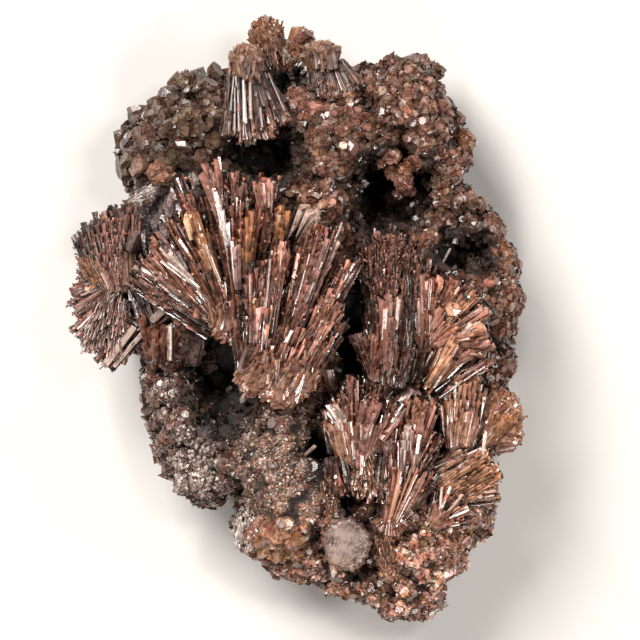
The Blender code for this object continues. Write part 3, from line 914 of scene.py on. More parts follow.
@dataclass(frozen=True)
class BareRock:
    """The rock itself, with the lumps and crags of its surface."""

    name: str = "rock"
    front_step: float = 0.45
    back_step: float = 0.9
    edge: float = 0.25
    fine: float = 0.22
    fine_size: float = 1.0
    finer_size: float = 0.5
    lump: float = 1.9
    lump_size: float = 2.3
    lump_middle: float = 0.6
    settling: float = 3.0
    calm: float = 0.7
    ledge: Spot = Spot(-18.0, 14.0, 1.0, 6.0, 6.0)
    dome: Spot = Spot(-1.5, -20.5, 0.9, 7.5, 9.5)
    patches: tuple[ColourPatch, ...] = (
        ColourPatch(Tint.GREY, Spot(-18.0, 14.2, 1.0, 6.2, 5.6)),
        ColourPatch(Tint.WHITE, Spot(-20.0, 16.0, 1.0, 2.2, 0.7, 30)),
        ColourPatch(Tint.WHITE, Spot(-13.4, 18.0, 1.0, 0.7, 1.2, 20)),
        ColourPatch(Tint.LAVENDER, Spot(-14.0, -17.8, 1.0, 3.6, 4.8, -10)),
        ColourPatch(Tint.WHITE, PALE_ROCK),
        ColourPatch(Tint.OLIVE, Spot(-1.5, -19.0, 1.0, 8.0, 7.0)),
        ColourPatch(Tint.TAN, HONEY),
    )

    def sheet(self, rim: list[tuple[float, float]], inner: Array) -> list[list[int]]:
        """Fill the outline with triangles through the inner points."""
        flat = [Vector(point) for point in rim] + [Vector(point) for point in inner]
        edges = [(index, (index + 1) % len(rim)) for index in range(len(rim))]
        made = delaunay_2d_cdt(flat, edges, [], 1, 1e-5)
        origins = [sources[0] for sources in made[3]]
        return [[origins[index] for index in face] for face in made[2]]

    def shape(self) -> tuple[Array, Array, Array]:
        """Work out the rock's surface.

        Returns:
            Its points in millimetres, the corners of its triangles, and how far up a lump each
            point lies.
        """
        rim = FORM.even_outline(self.front_step)
        front = FORM.lattice(self.front_step, self.edge)
        back = FORM.lattice(self.back_step, self.edge)
        edge = np.array(rim)
        points = np.concatenate([
            np.column_stack([edge, FORM.rim(edge[:, 0], edge[:, 1])]),
            np.column_stack([front, FORM.front(front[:, 0], front[:, 1])]),
            np.column_stack([back, FORM.back(back[:, 0], back[:, 1])]),
        ])
        faces = [face[::-1] for face in self.sheet(rim, front)]
        for face in self.sheet(rim, back):
            faces.append([index if index < len(rim) else index + len(front) for index in face])
        triangles = np.array(faces)
        first = triangles[0]
        corner = np.cross(points[first[1]] - points[first[0]], points[first[2]] - points[first[0]])
        if corner[2] < 0:
            triangles = triangles[:, ::-1]
        normals = vertex_normals(points, triangles)
        x, y, z = points.T
        coarse = wander(*(points / self.fine_size).T, 1.0)
        rough = self.fine * (coarse + wander(*(points / self.finer_size).T, 1.0) * 0.5)
        rises = lumps(points, self.lump_size)
        raised = self.lump * (rises - self.lump_middle)
        settled = np.clip(z / self.settling, 0, 1)
        bare = self.ledge.strength(x, y)
        bare = np.maximum(bare, self.dome.amount * self.dome.strength(x, y, FLAT_MIDDLE))
        points = points + normals * ((rough + raised * (1 - self.calm * bare)) * settled)[:, None]
        points[:, 2] = np.maximum(points[:, 2], 0.0)
        return points, triangles, rises

    def colours(self, points: Array, rises: Array) -> Array:
        """Give the rock's colour at its points: its body colour, with painted shade in the pits and
        between the lumps.

        Args:
            points: its points.
            rises: how far up a lump each point lies.

        Returns:
            One colour in each row.
        """
        x, y, z = points.T
        colours = np.tile(np.array(Tint.BROWN.value) * 0.75, (len(points), 1))
        for patch in self.patches:
            share = np.clip(patch.spot.strength(x, y, FLAT_MIDDLE) * 1.4, 0, 1)[:, None]
            share = share * (z > CRYSTAL_SIDE)[:, None]
            colours = colours * (1 - share) + np.array(patch.tint.value) * share
        # Painted shade: the rock in the pits is darkened towards black-brown.
        dark = np.clip(FORM.pit_strength(x, y, 1.05) * 2.2, 0, 1)[:, None] * (z > 6)[:, None]
        colours = colours * (1 - dark) + np.array(Tint.BLACK_BROWN.value) * 0.35 * dark
        # Painted shade: the rock between the lumps is darkened, except on the bare, pale and honey
        # patches.
        low = np.clip(1.2 - rises * 1.7, 0, 1)[:, None] * (z > 3)[:, None]
        shown = sum(spot.strength(x, y, FLAT_MIDDLE) for spot in (BARE, PALE_ROCK, HONEY))
        low = low * (1 - np.clip(shown, 0, 1))[:, None]
        return colours * (1 - 0.85 * low)

    def build(self) -> "Surface":
        """Make the rock and give its surface for the crusts that grow on it."""
        points, triangles, rises = self.shape()
        stock = MeshStock()
        colours = self.colours(points, rises)
        stock.add(points, colours, points, triangles.ravel(), np.full(len(triangles), 3))
        stock.make(self.name, RockFinish().material(), ("matrix",))
        return Surface(points, triangles, rises)


def vertex_normals(points: Array, triangles: Array) -> Array:
    """Give the smooth direction that a mesh faces at each of its points."""
    a, b, c = (points[triangles[:, index]] for index in range(3))
    faces = np.cross(b - a, c - a)
    normals = np.zeros_like(points)
    for index in range(3):
        np.add.at(normals, triangles[:, index], faces)
    return unit(normals)


LUMP_FOOT = 0.25
LUMP_RISE = 0.45
STEEP_HOLD = 0.7
STEEP_RISE = 0.6
LEAST_HOLD = 0.015
FAR_AWAY = 1e9


class Surface:
    """The rock's surface, as the place where crusts grow."""

    def __init__(self, points: Array, triangles: Array, rises: Array) -> None:
        """Measure the triangles."""
        self.rises = rises[triangles].mean(axis=1)
        self.corners = points[triangles]
        self.middles = self.corners.mean(axis=1)
        normals = vertex_normals(points, triangles)
        self.normals = unit(normals[triangles].mean(axis=1))
        edges = self.corners[:, 1:] - self.corners[:, :1]
        self.areas = np.linalg.norm(np.cross(edges[:, 0], edges[:, 1]), axis=1) / 2

    def sow(self, count: int, weights: Array, chance: Chance) -> tuple[Array, Array, Array]:
        """Choose places on the surface.

        Args:
            count: how many places.
            weights: how likely each triangle is, for its area.
            chance: source of the random draws.

        Returns:
            The places, the directions that the surface faces there, and how far up a lump each is,
            with steep places counted well up a lump so that the painted shade between lumps spares
            them.
        """
        steep = np.clip(1.2 - 2 * self.normals[:, 2], 0, 1)
        raised = np.clip((self.rises - LUMP_FOOT) / LUMP_RISE, 0, 1)
        hold = np.maximum(raised ** 2, STEEP_HOLD * steep)
        odds = self.areas * weights * (LEAST_HOLD + hold)
        picked = chance.choice(len(odds), size=count, p=odds / odds.sum())
        shares = chance.dirichlet((1.0, 1.0, 1.0), count)
        places = (self.corners[picked] * shares[..., None]).sum(axis=1)
        return places, self.normals[picked], np.maximum(self.rises, STEEP_RISE * steep)[picked]

    def height_at(self, x: float, y: float) -> float:
        """Give the height of the crystal side at a place."""
        near = np.hypot(self.middles[:, 0] - x, self.middles[:, 1] - y)
        upward = self.normals[:, 2] > -0.2
        return float(self.middles[np.argmin(np.where(upward, near, FAR_AWAY)), 2])


PIT_EDGE = 2.5
# PIT_SHADE and DARKEST set the painted shade of crust crystals in the pits.
PIT_SHADE = 2.8
DARKEST = 0.93
PATCH_EDGE = 1.3
# GAP_SHADE and TOP_SHADE set the painted shade between the lumps and the painted light on their
# tops.
GAP_SHADE = 0.06
TOP_SHADE = 1.3
SMALL_MANY = 1.4
GRAIN_LENGTHS = (0.8, 1.3)


@dataclass(frozen=True)
class Crust:
    """Small crystals that cover a part of the rock."""

    name: str
    spots: tuple[Spot, ...]
    habit: Habit
    count: int
    width: tuple[float, float]
    hues: Hues
    stretch: float = 1.0
    lean: float = 0.4
    sunk: float = 0.4
    spacing: float = 0.0
    lowest: float = CRYSTAL_SIDE
    pit_share: float = 0.15
    pit_reach: float = 1.1
    # shade scales the tints: partly the crust's own brightness, partly painted light, brighter low
    # on the specimen and darker at the top.
    shade: float = 1.5
    foot_shade: float = 0.15
    steep_only: bool = False
    bare_share: float = 0.05
    # Even crusts get no painted shade between the lumps.
    even: bool = False
    seed: int = 1

    def weights(self, surface: Surface) -> Array:
        """Give how likely this crust is to grow on each triangle of the surface."""
        x, y, z = surface.middles.T
        total = np.zeros(len(x))
        for spot in self.spots:
            total += spot.amount * spot.strength(x, y, FLAT_MIDDLE)
        above = z > CRYSTAL_SIDE
        pitted = np.clip(FORM.pit_strength(x, y, self.pit_reach) * PIT_EDGE, 0, 1)
        total *= 1 - (1 - self.pit_share) * pitted * above
        shown = BARE.strength(x, y, FLAT_MIDDLE) + HONEY.strength(x, y, FLAT_MIDDLE)
        total *= 1 - (1 - self.bare_share) * np.clip(shown * PATCH_EDGE, 0, 1) * above
        if self.steep_only:
            total *= np.clip((0.8 - surface.normals[:, 2]) * 4, 0.02, 1)
        return np.where(z > self.lowest, total, 0.0) + 1e-12

    def spread(self, places: Array, width: Array) -> Array:
        """Keep the crystals that don't stand on each other, the largest first."""
        kept: list[int] = []
        for index in np.argsort(-width):
            near = np.linalg.norm(places[kept] - places[index], axis=1) if kept else np.array([])
            if not kept or np.all(near > self.spacing * (width[kept] + width[index]) / 2):
                kept.append(int(index))
        return np.array(kept)

    def build(self, surface: Surface, material: Material) -> Piece:
        """Grow the crust.

        Args:
            surface: the rock's surface.
            material: its finish.

        Returns:
            The piece.
        """
        chance = np.random.default_rng(self.seed)
        places, normals, rises = surface.sow(self.count, self.weights(surface), chance)
        low, high = self.width
        width = low * (high / low) ** (chance.random(len(places)) ** SMALL_MANY)
        if self.spacing:
            kept = self.spread(places, width)
            places, normals, rises, width = places[kept], normals[kept], rises[kept], width[kept]
        way = unit(normals + chance.normal(0, self.lean, normals.shape))
        length = width * self.stretch * chance.uniform(*GRAIN_LENGTHS, len(width))
        foot = places - way * (length * self.sunk)[:, None]
        tint = self.hues.draw(len(width), chance) * self.shade
        # Painted shade: crystals in the pits are darkened.
        pitted = FORM.pit_strength(places[:, 0], places[:, 1], self.pit_reach)
        dark = np.clip(pitted * PIT_SHADE, 0, DARKEST)
        # Painted shade between the lumps and painted light on their tops, unless the crust is even.
        lit = 1.0 if self.even else GAP_SHADE + TOP_SHADE * rises ** 2.5
        tint = tint * ((1 - dark) * lit)[:, None]
        tip = foot + way * length[:, None]
        stock = MeshStock()
        stock.grow(self.habit, foot, tip, width, tint, chance, self.foot_shade)
        return stock.make(self.name, material, ("matrix",))


@dataclass(frozen=True)
class Filling:
    """How thin crystals fill a bundle: how ragged, fine, scattered and long, and their sprigs."""

    ragged: float = 0.0
    fineness: float = 1.0
    scatter: float = 0.0
    reach: float = 1.0
    sprigs: int = 0


class RowFinish(Enum):
    """How the bundles of a row end: ragged, even, matted, in a round, or hidden within a cap."""

    RAGGED = Filling(0.27, 1.0, 0.016, 1.0, 34)
    EVEN = Filling(0.1, 1.5, 0.01, 1.0, 24)
    MATTED = Filling(0.2, 2.0, 0.03, 1.0, 60)
    ROUND = Filling(0.03, 2.6, 0.004, 0.76)
    CAPPED = Filling()


@dataclass(frozen=True)
class Row:
    """One layer of a fan's bundles, from one azimuth to another, all at about the same lift."""

    first: float
    last: float
    reach: tuple[float, ...]
    lift: float
    width: float
    count: int
    finish: RowFinish = RowFinish.RAGGED


@dataclass(frozen=True)
class Fan:
    """Crystals that spread from one waist."""

    focus: Point
    rows: tuple[Row, ...]
    waist: float = 1.0
    shift: Point = (0.0, 0.0, 0.0)
    knob: Point | None = None


@dataclass(frozen=True)
class Cap:
    """Fine crystals that run side by side up to a rounded head."""

    foot: Point
    middle: Point
    half: Point
    hues: Hues
    count: int = 260
    narrowing: float = 0.7
    starts: tuple[float, float] = (0.1, 0.75)
    reach: tuple[float, float] = (0.985, 1.015)
    bend: float = 0.13
    coverage: float = 4.0

    def grow(self, stock: MeshStock, chance: Chance) -> None:
        """Add the crystals.

        Args:
            stock: where they are gathered.
            chance: source of the random draws.
        """
        foot = np.array(self.foot)
        middle = np.array(self.middle)
        ahead = unit((middle - foot)[None])
        side, across = frames(ahead)
        order = np.arange(self.count) + 0.5
        radius = np.sqrt(order / self.count)
        turn = order * GOLDEN_ANGLE + chance.normal(0, 0.5, self.count)
        aside = (np.cos(turn) * radius)[:, None] * side * self.half[1]
        above = (np.sin(turn) * radius)[:, None] * across * self.half[2]
        rise = np.sqrt(np.clip(1 - radius ** 2, 0, 1))[:, None] * self.half[0]
        reach = chance.uniform(*self.reach, (self.count, 1))
        tip = middle + ahead * rise * reach + aside + above
        start = foot + (aside + above) * self.narrowing
        start = start + (tip - start) * chance.uniform(*self.starts, (self.count, 1))
        length = np.linalg.norm(tip - start, axis=1)[:, None]
        bent = chance.normal(0, self.bend, (self.count, 3)) * length
        tip = tip + bent * 0.5
        start = start - bent
        usual = math.sqrt(self.half[1] * self.half[2] / self.count) * self.coverage
        width = usual * np.exp(chance.normal(0, 0.4, self.count))
        # Painted shade: the crystals at the head's edge are darker than those in its middle.
        tint = self.hues.draw(self.count, chance) * (0.6 + 0.4 * rise / self.half[0])
        stock.grow(Habit.COLUMN, start, tip, width, tint, chance, 0.6)


@dataclass(frozen=True)
class Axis:
    """Where one bundle of crystals lies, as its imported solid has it."""

    start: Array
    tip: Array
    start_width: float
    tip_width: float
    finish: RowFinish
    # Painted shade of the whole bundle: darker in a deep row and at the ends of a row.
    shade: float


LOOSE_TIMES = 4
LOOSE_LENGTH = 0.45
STRAND_ENDS = (0.82, 1.0)
STRAND_STARTS = (-0.08, 0.22)
STRAND_WIDTHS = (0.5, 1.3)
STRAND_COVERAGE = 1.35
STRAND_CONTRAST = 0.32
PIECE_LENGTHS = (0.5, 1.3)
PIECE_LEAN = 0.05


@dataclass(frozen=True)
class Named:
    """Crystals that the eye knows by themselves: where they run from and to, and how they look."""

    foot: Point
    tip: Point
    width: float
    tint: Tint
    habit: Habit = Habit.PRISM
    strands: int = 1
    broken: float = 0.0

    def grow(self, stock: MeshStock, chance: Chance, level: float = 0.0) -> None:
        """Add the crystals.

        Args:
            stock: where they are gathered.
            chance: source of the random draws.
            level: how much higher they lie than the table says.
        """
        rise = np.array([[0, 0, level]])
        foot = np.array(self.foot, float)[None] + rise
        tip = np.array(self.tip, float)[None] + rise
        tint = np.array(self.tint.value)[None]
        if self.strands == 1:
            stock.grow(self.habit, foot, tip, np.array([self.width]), tint, chance, 0.7, 0.06)
            return
        loose = self.habit is Habit.COLUMN and self.strands > 2
        broken = self.broken or LOOSE_LENGTH * loose
        count = self.strands * (LOOSE_TIMES if loose else 1)
        side, across = frames(tip - foot)
        angle = chance.uniform(0, math.tau, (count, 1))
        radius = np.sqrt(chance.random((count, 1))) * self.width / 2
        offset = around(angle, radius, side, across)
        ends = chance.uniform(*STRAND_ENDS, (count, 1))
        usual = self.width * STRAND_COVERAGE / math.sqrt(self.strands)
        width = usual * chance.uniform(*STRAND_WIDTHS, count)
        tints = tint * np.exp(chance.normal(0, STRAND_CONTRAST, (count, 1)))
        base = foot + offset * 0.7 + (tip - foot) * chance.uniform(*STRAND_STARTS, (count, 1))
        end = base + (tip + offset * 1.1 - base) * ends
        if broken:
            run = end - base
            base = base + run * chance.uniform(0, 1 - broken * 0.8, (count, 1))
            length = np.linalg.norm(run, axis=1)[:, None]
            lean = chance.normal(0, PIECE_LEAN, (count, 3)) * length
            end = base + (run + lean) * broken * chance.uniform(*PIECE_LENGTHS, (count, 1))
        stock.grow(self.habit, base, end, width, tints, chance, 0.4, 0.12)


NARROW_BASE = 0.55
BASE_FOR_WAIST = 0.25
START_SHARE = 0.06
AZIMUTH_JITTER = 2.0
LIFT_JITTER = 3.0
REACH_JITTER = 0.05
WIDTH_JITTER = 0.12
# Painted shade for bundles under a fan's upper rows and at the ends of each row.
DEEP_LIFT = -5.0
DEEP_SHADE = 0.38
END_SHADE = 0.62
USUAL_WIDTH = 2.4
STRAND_SWING = (0.75, 1.12)
STRAND_WIDTH_LIMITS = (0.08, 0.24)
STRAND_FOOT_SHADE = 0.26
SHORT_ENDS = (0.5, 0.92)
# Painted shade on the short strands inside a bundle, painted light on the long ones.
SHORT_SHADE = 0.35
LONG_SHADE = 1.1
LATE_STARTS = (0.0, 0.5)
PIECE_PLACES = (-0.04, 0.92)
PIECE_DEPTHS = (0.6, 1.02)
PIECE_FLARE = (-0.03, 0.1)
PIECE_LENGTH_LIMITS = (0.7, 6.0)
PIECE_WIDTH_LIMITS = (0.16, 1.1)
SPRIG_DEPTHS = (0.42, 0.58)
SPRIG_LENGTHS = (0.3, 0.95)
SPRIG_WIDTHS = (0.16, 0.45)
SPRIG_LEAN = 0.7
KNOB_LENGTHS = (0.22, 0.5)
KNOB_WIDTHS = (0.22, 0.42)


@dataclass(frozen=True)
class Sheaf:
    """A sheaf of crystals, each drawn as a bundle of thinner ones."""

    name: str
    fans: tuple[Fan, ...]
    slot: str
    hues: Hues
    named: tuple[Named, ...] = ()
    caps: tuple[Cap, ...] = ()
    strands: int = 26
    thin: float = 0.22
    splinters: float = 2.1
    granular: float = 1.0
    knob_count: int = 110
    knob_hues: Hues = Hues(((Tint.ROSY, 4), (Tint.TAN, 3), (Tint.BROWN, 2)), 0.15)
    # shade scales the tints: partly the sheaf's own brightness, partly painted light, brighter low
    # on the specimen and darker for the top sheaves.
    shade: float = 1.0
    dull: bool = False
    seed: int = 1

    def axes(self, chance: random.Random) -> list[Axis]:
        """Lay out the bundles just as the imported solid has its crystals.

        Args:
            chance: the draws that all sheaves share, in their order.

        Returns:
            One axis for each bundle.
        """
        axes = []
        for fan in self.fans:
            focus = np.array(fan.focus)
            for row in fan.rows:
                middle = (row.first + row.last) / 2
                half = abs(row.last - row.first) / 2
                for index in range(row.count):
                    share = index / (row.count - 1)
                    azimuth = row.first + (row.last - row.first) * share
                    azimuth += chance.uniform(-AZIMUTH_JITTER, AZIMUTH_JITTER)
                    lift = row.lift + chance.uniform(-LIFT_JITTER, LIFT_JITTER)
                    reach = read_along(row.reach, share)
                    reach = reach * (1 + chance.uniform(-REACH_JITTER, REACH_JITTER))
                    width = row.width * (1 + chance.uniform(-WIDTH_JITTER, WIDTH_JITTER))
                    chance.uniform(0, math.tau / SIDES)
                    way = direction(azimuth, lift) * reach
                    aside = direction(middle + 90, 0) * (azimuth - middle) / half * fan.waist
                    start = focus + way * START_SHARE + aside + np.array(fan.shift)
                    base = min(1.0, NARROW_BASE + BASE_FOR_WAIST * fan.waist)
                    # Painted shade: bundles in deep rows and at the ends of a row are darker.
                    shade = DEEP_SHADE if row.lift < DEEP_LIFT else 1.0
                    shade *= END_SHADE if index in (0, row.count - 1) else 1.0
                    axes.append(Axis(start, focus + way, width * base, width, row.finish, shade))
        return axes

    def bundle(self, stock: MeshStock, axis: Axis, chance: Chance) -> None:
        """Fill one bundle with thin crystals.

        Args:
            stock: where they are gathered.
            axis: the bundle's place.
            chance: source of the random draws.
        """
        filling = axis.finish.value
        share = (axis.tip_width / USUAL_WIDTH) ** 1.5
        count = max(6, round(self.strands * share * filling.fineness))
        run = (axis.tip - axis.start) * filling.reach
        side, across = frames(run[None])
        order = np.arange(count) + 0.5
        radius = np.sqrt(order / count) * axis.tip_width * 0.5
        angle = order * GOLDEN_ANGLE + chance.uniform(0, math.tau) + chance.normal(0, 0.35, count)
        radius = radius * chance.uniform(*STRAND_SWING, count)
        offset = around(angle[:, None], radius[:, None], side, across)
        reach = np.linalg.norm(run)
        thin = self.thin / math.sqrt(filling.fineness) * np.exp(chance.normal(0, 0.5, count))
        width = axis.tip_width * np.clip(thin, *STRAND_WIDTH_LIMITS)
        ends = 1.02 - filling.ragged * chance.random(count) - 0.1 * (radius / axis.tip_width) ** 2
        short = chance.random(count) < filling.ragged
        ends = np.where(short, ends * chance.uniform(*SHORT_ENDS, count), ends)
        begin = np.where(chance.random(count) < 0.5, -0.05, chance.uniform(*LATE_STARTS, count))
        foot = axis.start + offset * (axis.start_width / axis.tip_width) * 0.9
        full = axis.start + run + offset + chance.normal(0, filling.scatter * reach, (count, 3))
        tip = foot + (full - foot) * ends[:, None]
        foot = foot + (tip - foot) * begin[:, None]
        hue = self.hues.draw(1, chance)
        tint = hue * 0.45 + self.hues.draw(count, chance) * 0.55
        # Painted shade on short strands and on the bundle's sides, painted light on its top.
        tint = tint * np.where(short, SHORT_SHADE, LONG_SHADE)[:, None]
        tint = tint * (axis.shade * self.ridge(offset[:, 2:] / axis.tip_width * 2))
        if not filling.sprigs:
            stock.grow(Habit.SPINDLE, foot, tip, width, tint, chance, 0.7)
            return
        stock.grow(Habit.COLUMN, foot, tip, width, tint, chance, STRAND_FOOT_SHADE)
        self.splinter(stock, axis, round(self.splinters * axis.tip_width * reach), chance)
        sprigs = round(self.granular * filling.sprigs * axis.tip_width * reach / 20)
        self.overgrow(stock, axis, sprigs, chance)

    def ridge(self, upward: Array) -> Array:
        """Give the painted shade and painted light of crystals by how far up a bundle they lie: its
        sides are painted dark and its top painted light.
        """
        return np.clip(0.2 + 1.15 * upward, 0.05, 1.3)

    def splinter(self, stock: MeshStock, axis: Axis, count: int, chance: Chance) -> None:
        """Cover one bundle with broken crystals that lie along it, end behind end.

        Args:
            stock: where they are gathered.
            axis: the bundle's place.
            count: how many there are.
            chance: source of the random draws.
        """
        run = axis.tip - axis.start
        reach = np.linalg.norm(run)
        side, across = frames(run[None])
        share = chance.uniform(*PIECE_PLACES, (count, 1))
        length = np.clip(np.exp(chance.normal(0.75, 0.5, (count, 1))), *PIECE_LENGTH_LIMITS)
        length = np.minimum(length, (1.04 - share) * reach)
        outward = around(chance.uniform(0, math.tau, (count, 1)), 1.0, side, across)
        spread = (axis.tip_width - axis.start_width) / 2 / reach
        radius = axis.start_width / 2 + spread * reach * share
        radius = radius * chance.uniform(*PIECE_DEPTHS, (count, 1))
        way = unit(run[None]) + outward * (spread + chance.uniform(*PIECE_FLARE, (count, 1)))
        way = unit(way + chance.normal(0, 0.045, (count, 3)))
        foot = axis.start + run * share + outward * radius
        width = np.clip(np.exp(chance.normal(-0.85, 0.4, count)), *PIECE_WIDTH_LIMITS)
        hue = self.hues.draw(1, chance)
        tint = hue * 0.4 + self.hues.draw(count, chance) * 0.6
        tint = tint * np.exp(chance.normal(-0.05, 0.5, (count, 1)))
        # Painted shade on the bundle's sides and in deep rows, painted light on its top.
        tint = tint * (axis.shade * math.exp(chance.normal(0, 0.25)) * self.ridge(outward[:, 2:]))
        stock.grow(Habit.CHIP, foot, foot + way * length, width * 1.15, tint, chance, 0.15, 0.2)

    def overgrow(self, stock: MeshStock, axis: Axis, count: int, chance: Chance) -> None:
        """Cover the outside of one bundle with short crystals that lie nearly along it.

        Args:
            stock: where they are gathered.
            axis: the bundle's place.
            count: how many there are.
            chance: source of the random draws.
        """
        run = axis.tip - axis.start
        side, across = frames(run[None])
        share = chance.uniform(0.2, 1.0, (count, 1)) ** 0.6
        angle = chance.uniform(0, math.tau, (count, 1))
        radius = axis.start_width + (axis.tip_width - axis.start_width) * share
        radius = radius * chance.uniform(*SPRIG_DEPTHS, (count, 1))
        outward = around(angle, 1.0, side, across)
        way = unit(run[None]) + outward * chance.uniform(0.0, SPRIG_LEAN, (count, 1))
        way = unit(way + chance.normal(0, 0.3, (count, 3)))
        foot = axis.start + run * share + outward * radius - way * 0.25
        length = chance.uniform(*SPRIG_LENGTHS, (count, 1))
        width = chance.uniform(*SPRIG_WIDTHS, count)
        tint = self.hues.draw(count, chance) * np.exp(chance.normal(0.1, 0.6, (count, 1)))
        # Painted shade on the bundle's sides and in deep rows, painted light on its top.
        tint = tint * (axis.shade * self.ridge(outward[:, 2:]))
        stock.grow(Habit.CHIP, foot, foot + way * length, width, tint, chance, 0.5)

    def knob(self, stock: MeshStock, fan: Fan, chance: Chance) -> None:
        """Round off the foot of a fan with crystals that run from a lump up into the fan.

        Args:
            stock: where they are gathered.
            fan: the fan.
            chance: source of the random draws.
        """
        row = fan.rows[0]
        middle = (row.first + row.last) / 2
        half = abs(row.last - row.first) / 2
        count = self.knob_count
        shares = unit(chance.normal(0, 1, (count, 3)))
        shares[:, 0] = -np.abs(shares[:, 0]) + 0.25
        shares[:, 2] = np.abs(shares[:, 2]) * 1.1 - 0.1
        size = np.array(fan.knob)
        offset = shares * size
        foot = np.array(fan.focus) + np.array(fan.shift)
        ways = (direction(middle, 0), direction(middle + 90, 0), np.array([0, 0, 1]))
        for index, way in enumerate(ways):
            foot = foot + offset[:, index:index + 1] * way
        turn = np.radians(middle + shares[:, 1] * half * 0.85)
        rise = np.radians(row.lift + shares[:, 2] * 10)
        level = np.cos(rise)
        way = np.stack([np.cos(turn) * level, np.sin(turn) * level, np.sin(rise)], axis=1)
        length = chance.uniform(*KNOB_LENGTHS, count) * read_along(row.reach, 0.5)
        width = size.mean() * chance.uniform(*KNOB_WIDTHS, count)
        tint = self.knob_hues.draw(count, chance)
        stock.grow(Habit.COLUMN, foot, foot + way * length[:, None], width, tint, chance, 0.95)

    def build(self, shared: random.Random, material: Material) -> Piece:
        """Make the sheaf.

        Args:
            shared: the draws that all sheaves share, in their order.
            material: its finish.

        Returns:
            The piece.
        """
        chance = np.random.default_rng(self.seed)
        stock = MeshStock()
        for axis in self.axes(shared):
            if axis.finish is not RowFinish.CAPPED:
                self.bundle(stock, axis, chance)
        for cap in self.caps:
            cap.grow(stock, chance)
        for fan in self.fans:
            if fan.knob:
                self.knob(stock, fan, chance)
        for named in self.named:
            named.grow(stock, chance)
        # The sheaf's shade factor: partly its own brightness, partly painted light.
        stock.tints = [tints * self.shade for tints in stock.tints]
        return stock.make(self.name + "_crystals", material, (self.name,))


@dataclass(frozen=True)
class RockCrystals:
    """Single crystals and small bundles that stand on the rock; their heights count from it."""

    name: str
    slot: str
    named: tuple[Named, ...]
    seed: int = 1

    def build(self, surface: Surface, material: Material) -> Piece:
        """Make them.

        Args:
            surface: the rock's surface.
            material: their finish.

        Returns:
            The piece.
        """
        chance = np.random.default_rng(self.seed)
        stock = MeshStock()
        for named in self.named:
            x, y = ((named.foot[axis] + named.tip[axis]) / 2 for axis in (0, 1))
            named.grow(stock, chance, surface.height_at(x, y))
        return stock.make(self.name, material, ("matrix",))


@dataclass(frozen=True)
class Rosette:
    """A small ball of short crystals on the rock."""

    middle: tuple[float, float]
    radius: float
    count: int
    tint: Tint
    level: float | None = None

    def grow(self, stock: MeshStock, surface: Surface, chance: Chance) -> None:
        """Add the ball.

        Args:
            stock: where its crystals are gathered.
            surface: the rock's surface.
            chance: source of the random draws.
        """
        x, y = self.middle
        level = self.level
        if level is None:
            level = surface.height_at(x, y) + self.radius * 0.15
        middle = np.array([x, y, level])
        order = np.arange(self.count) + 0.5
        turn = order * GOLDEN_ANGLE + chance.uniform(0, math.tau)
        height = 1 - order / self.count * 1.15
        outward = np.sqrt(np.clip(1 - height * height, 0, 1))
        way = unit(np.stack([np.cos(turn) * outward, np.sin(turn) * outward, height], axis=1))
        reach = self.radius * chance.uniform(0.85, 1.08, self.count)
        width = self.radius * 3.4 / math.sqrt(self.count) * chance.uniform(0.8, 1.15, self.count)
        tint = np.array(self.tint.value) * np.exp(chance.normal(0, 0.16, (self.count, 1)))
        foot = np.repeat(middle[None], self.count, 0)
        stock.grow(Habit.BARREL, foot, middle + way * reach[:, None], width, tint, chance, 0.15)


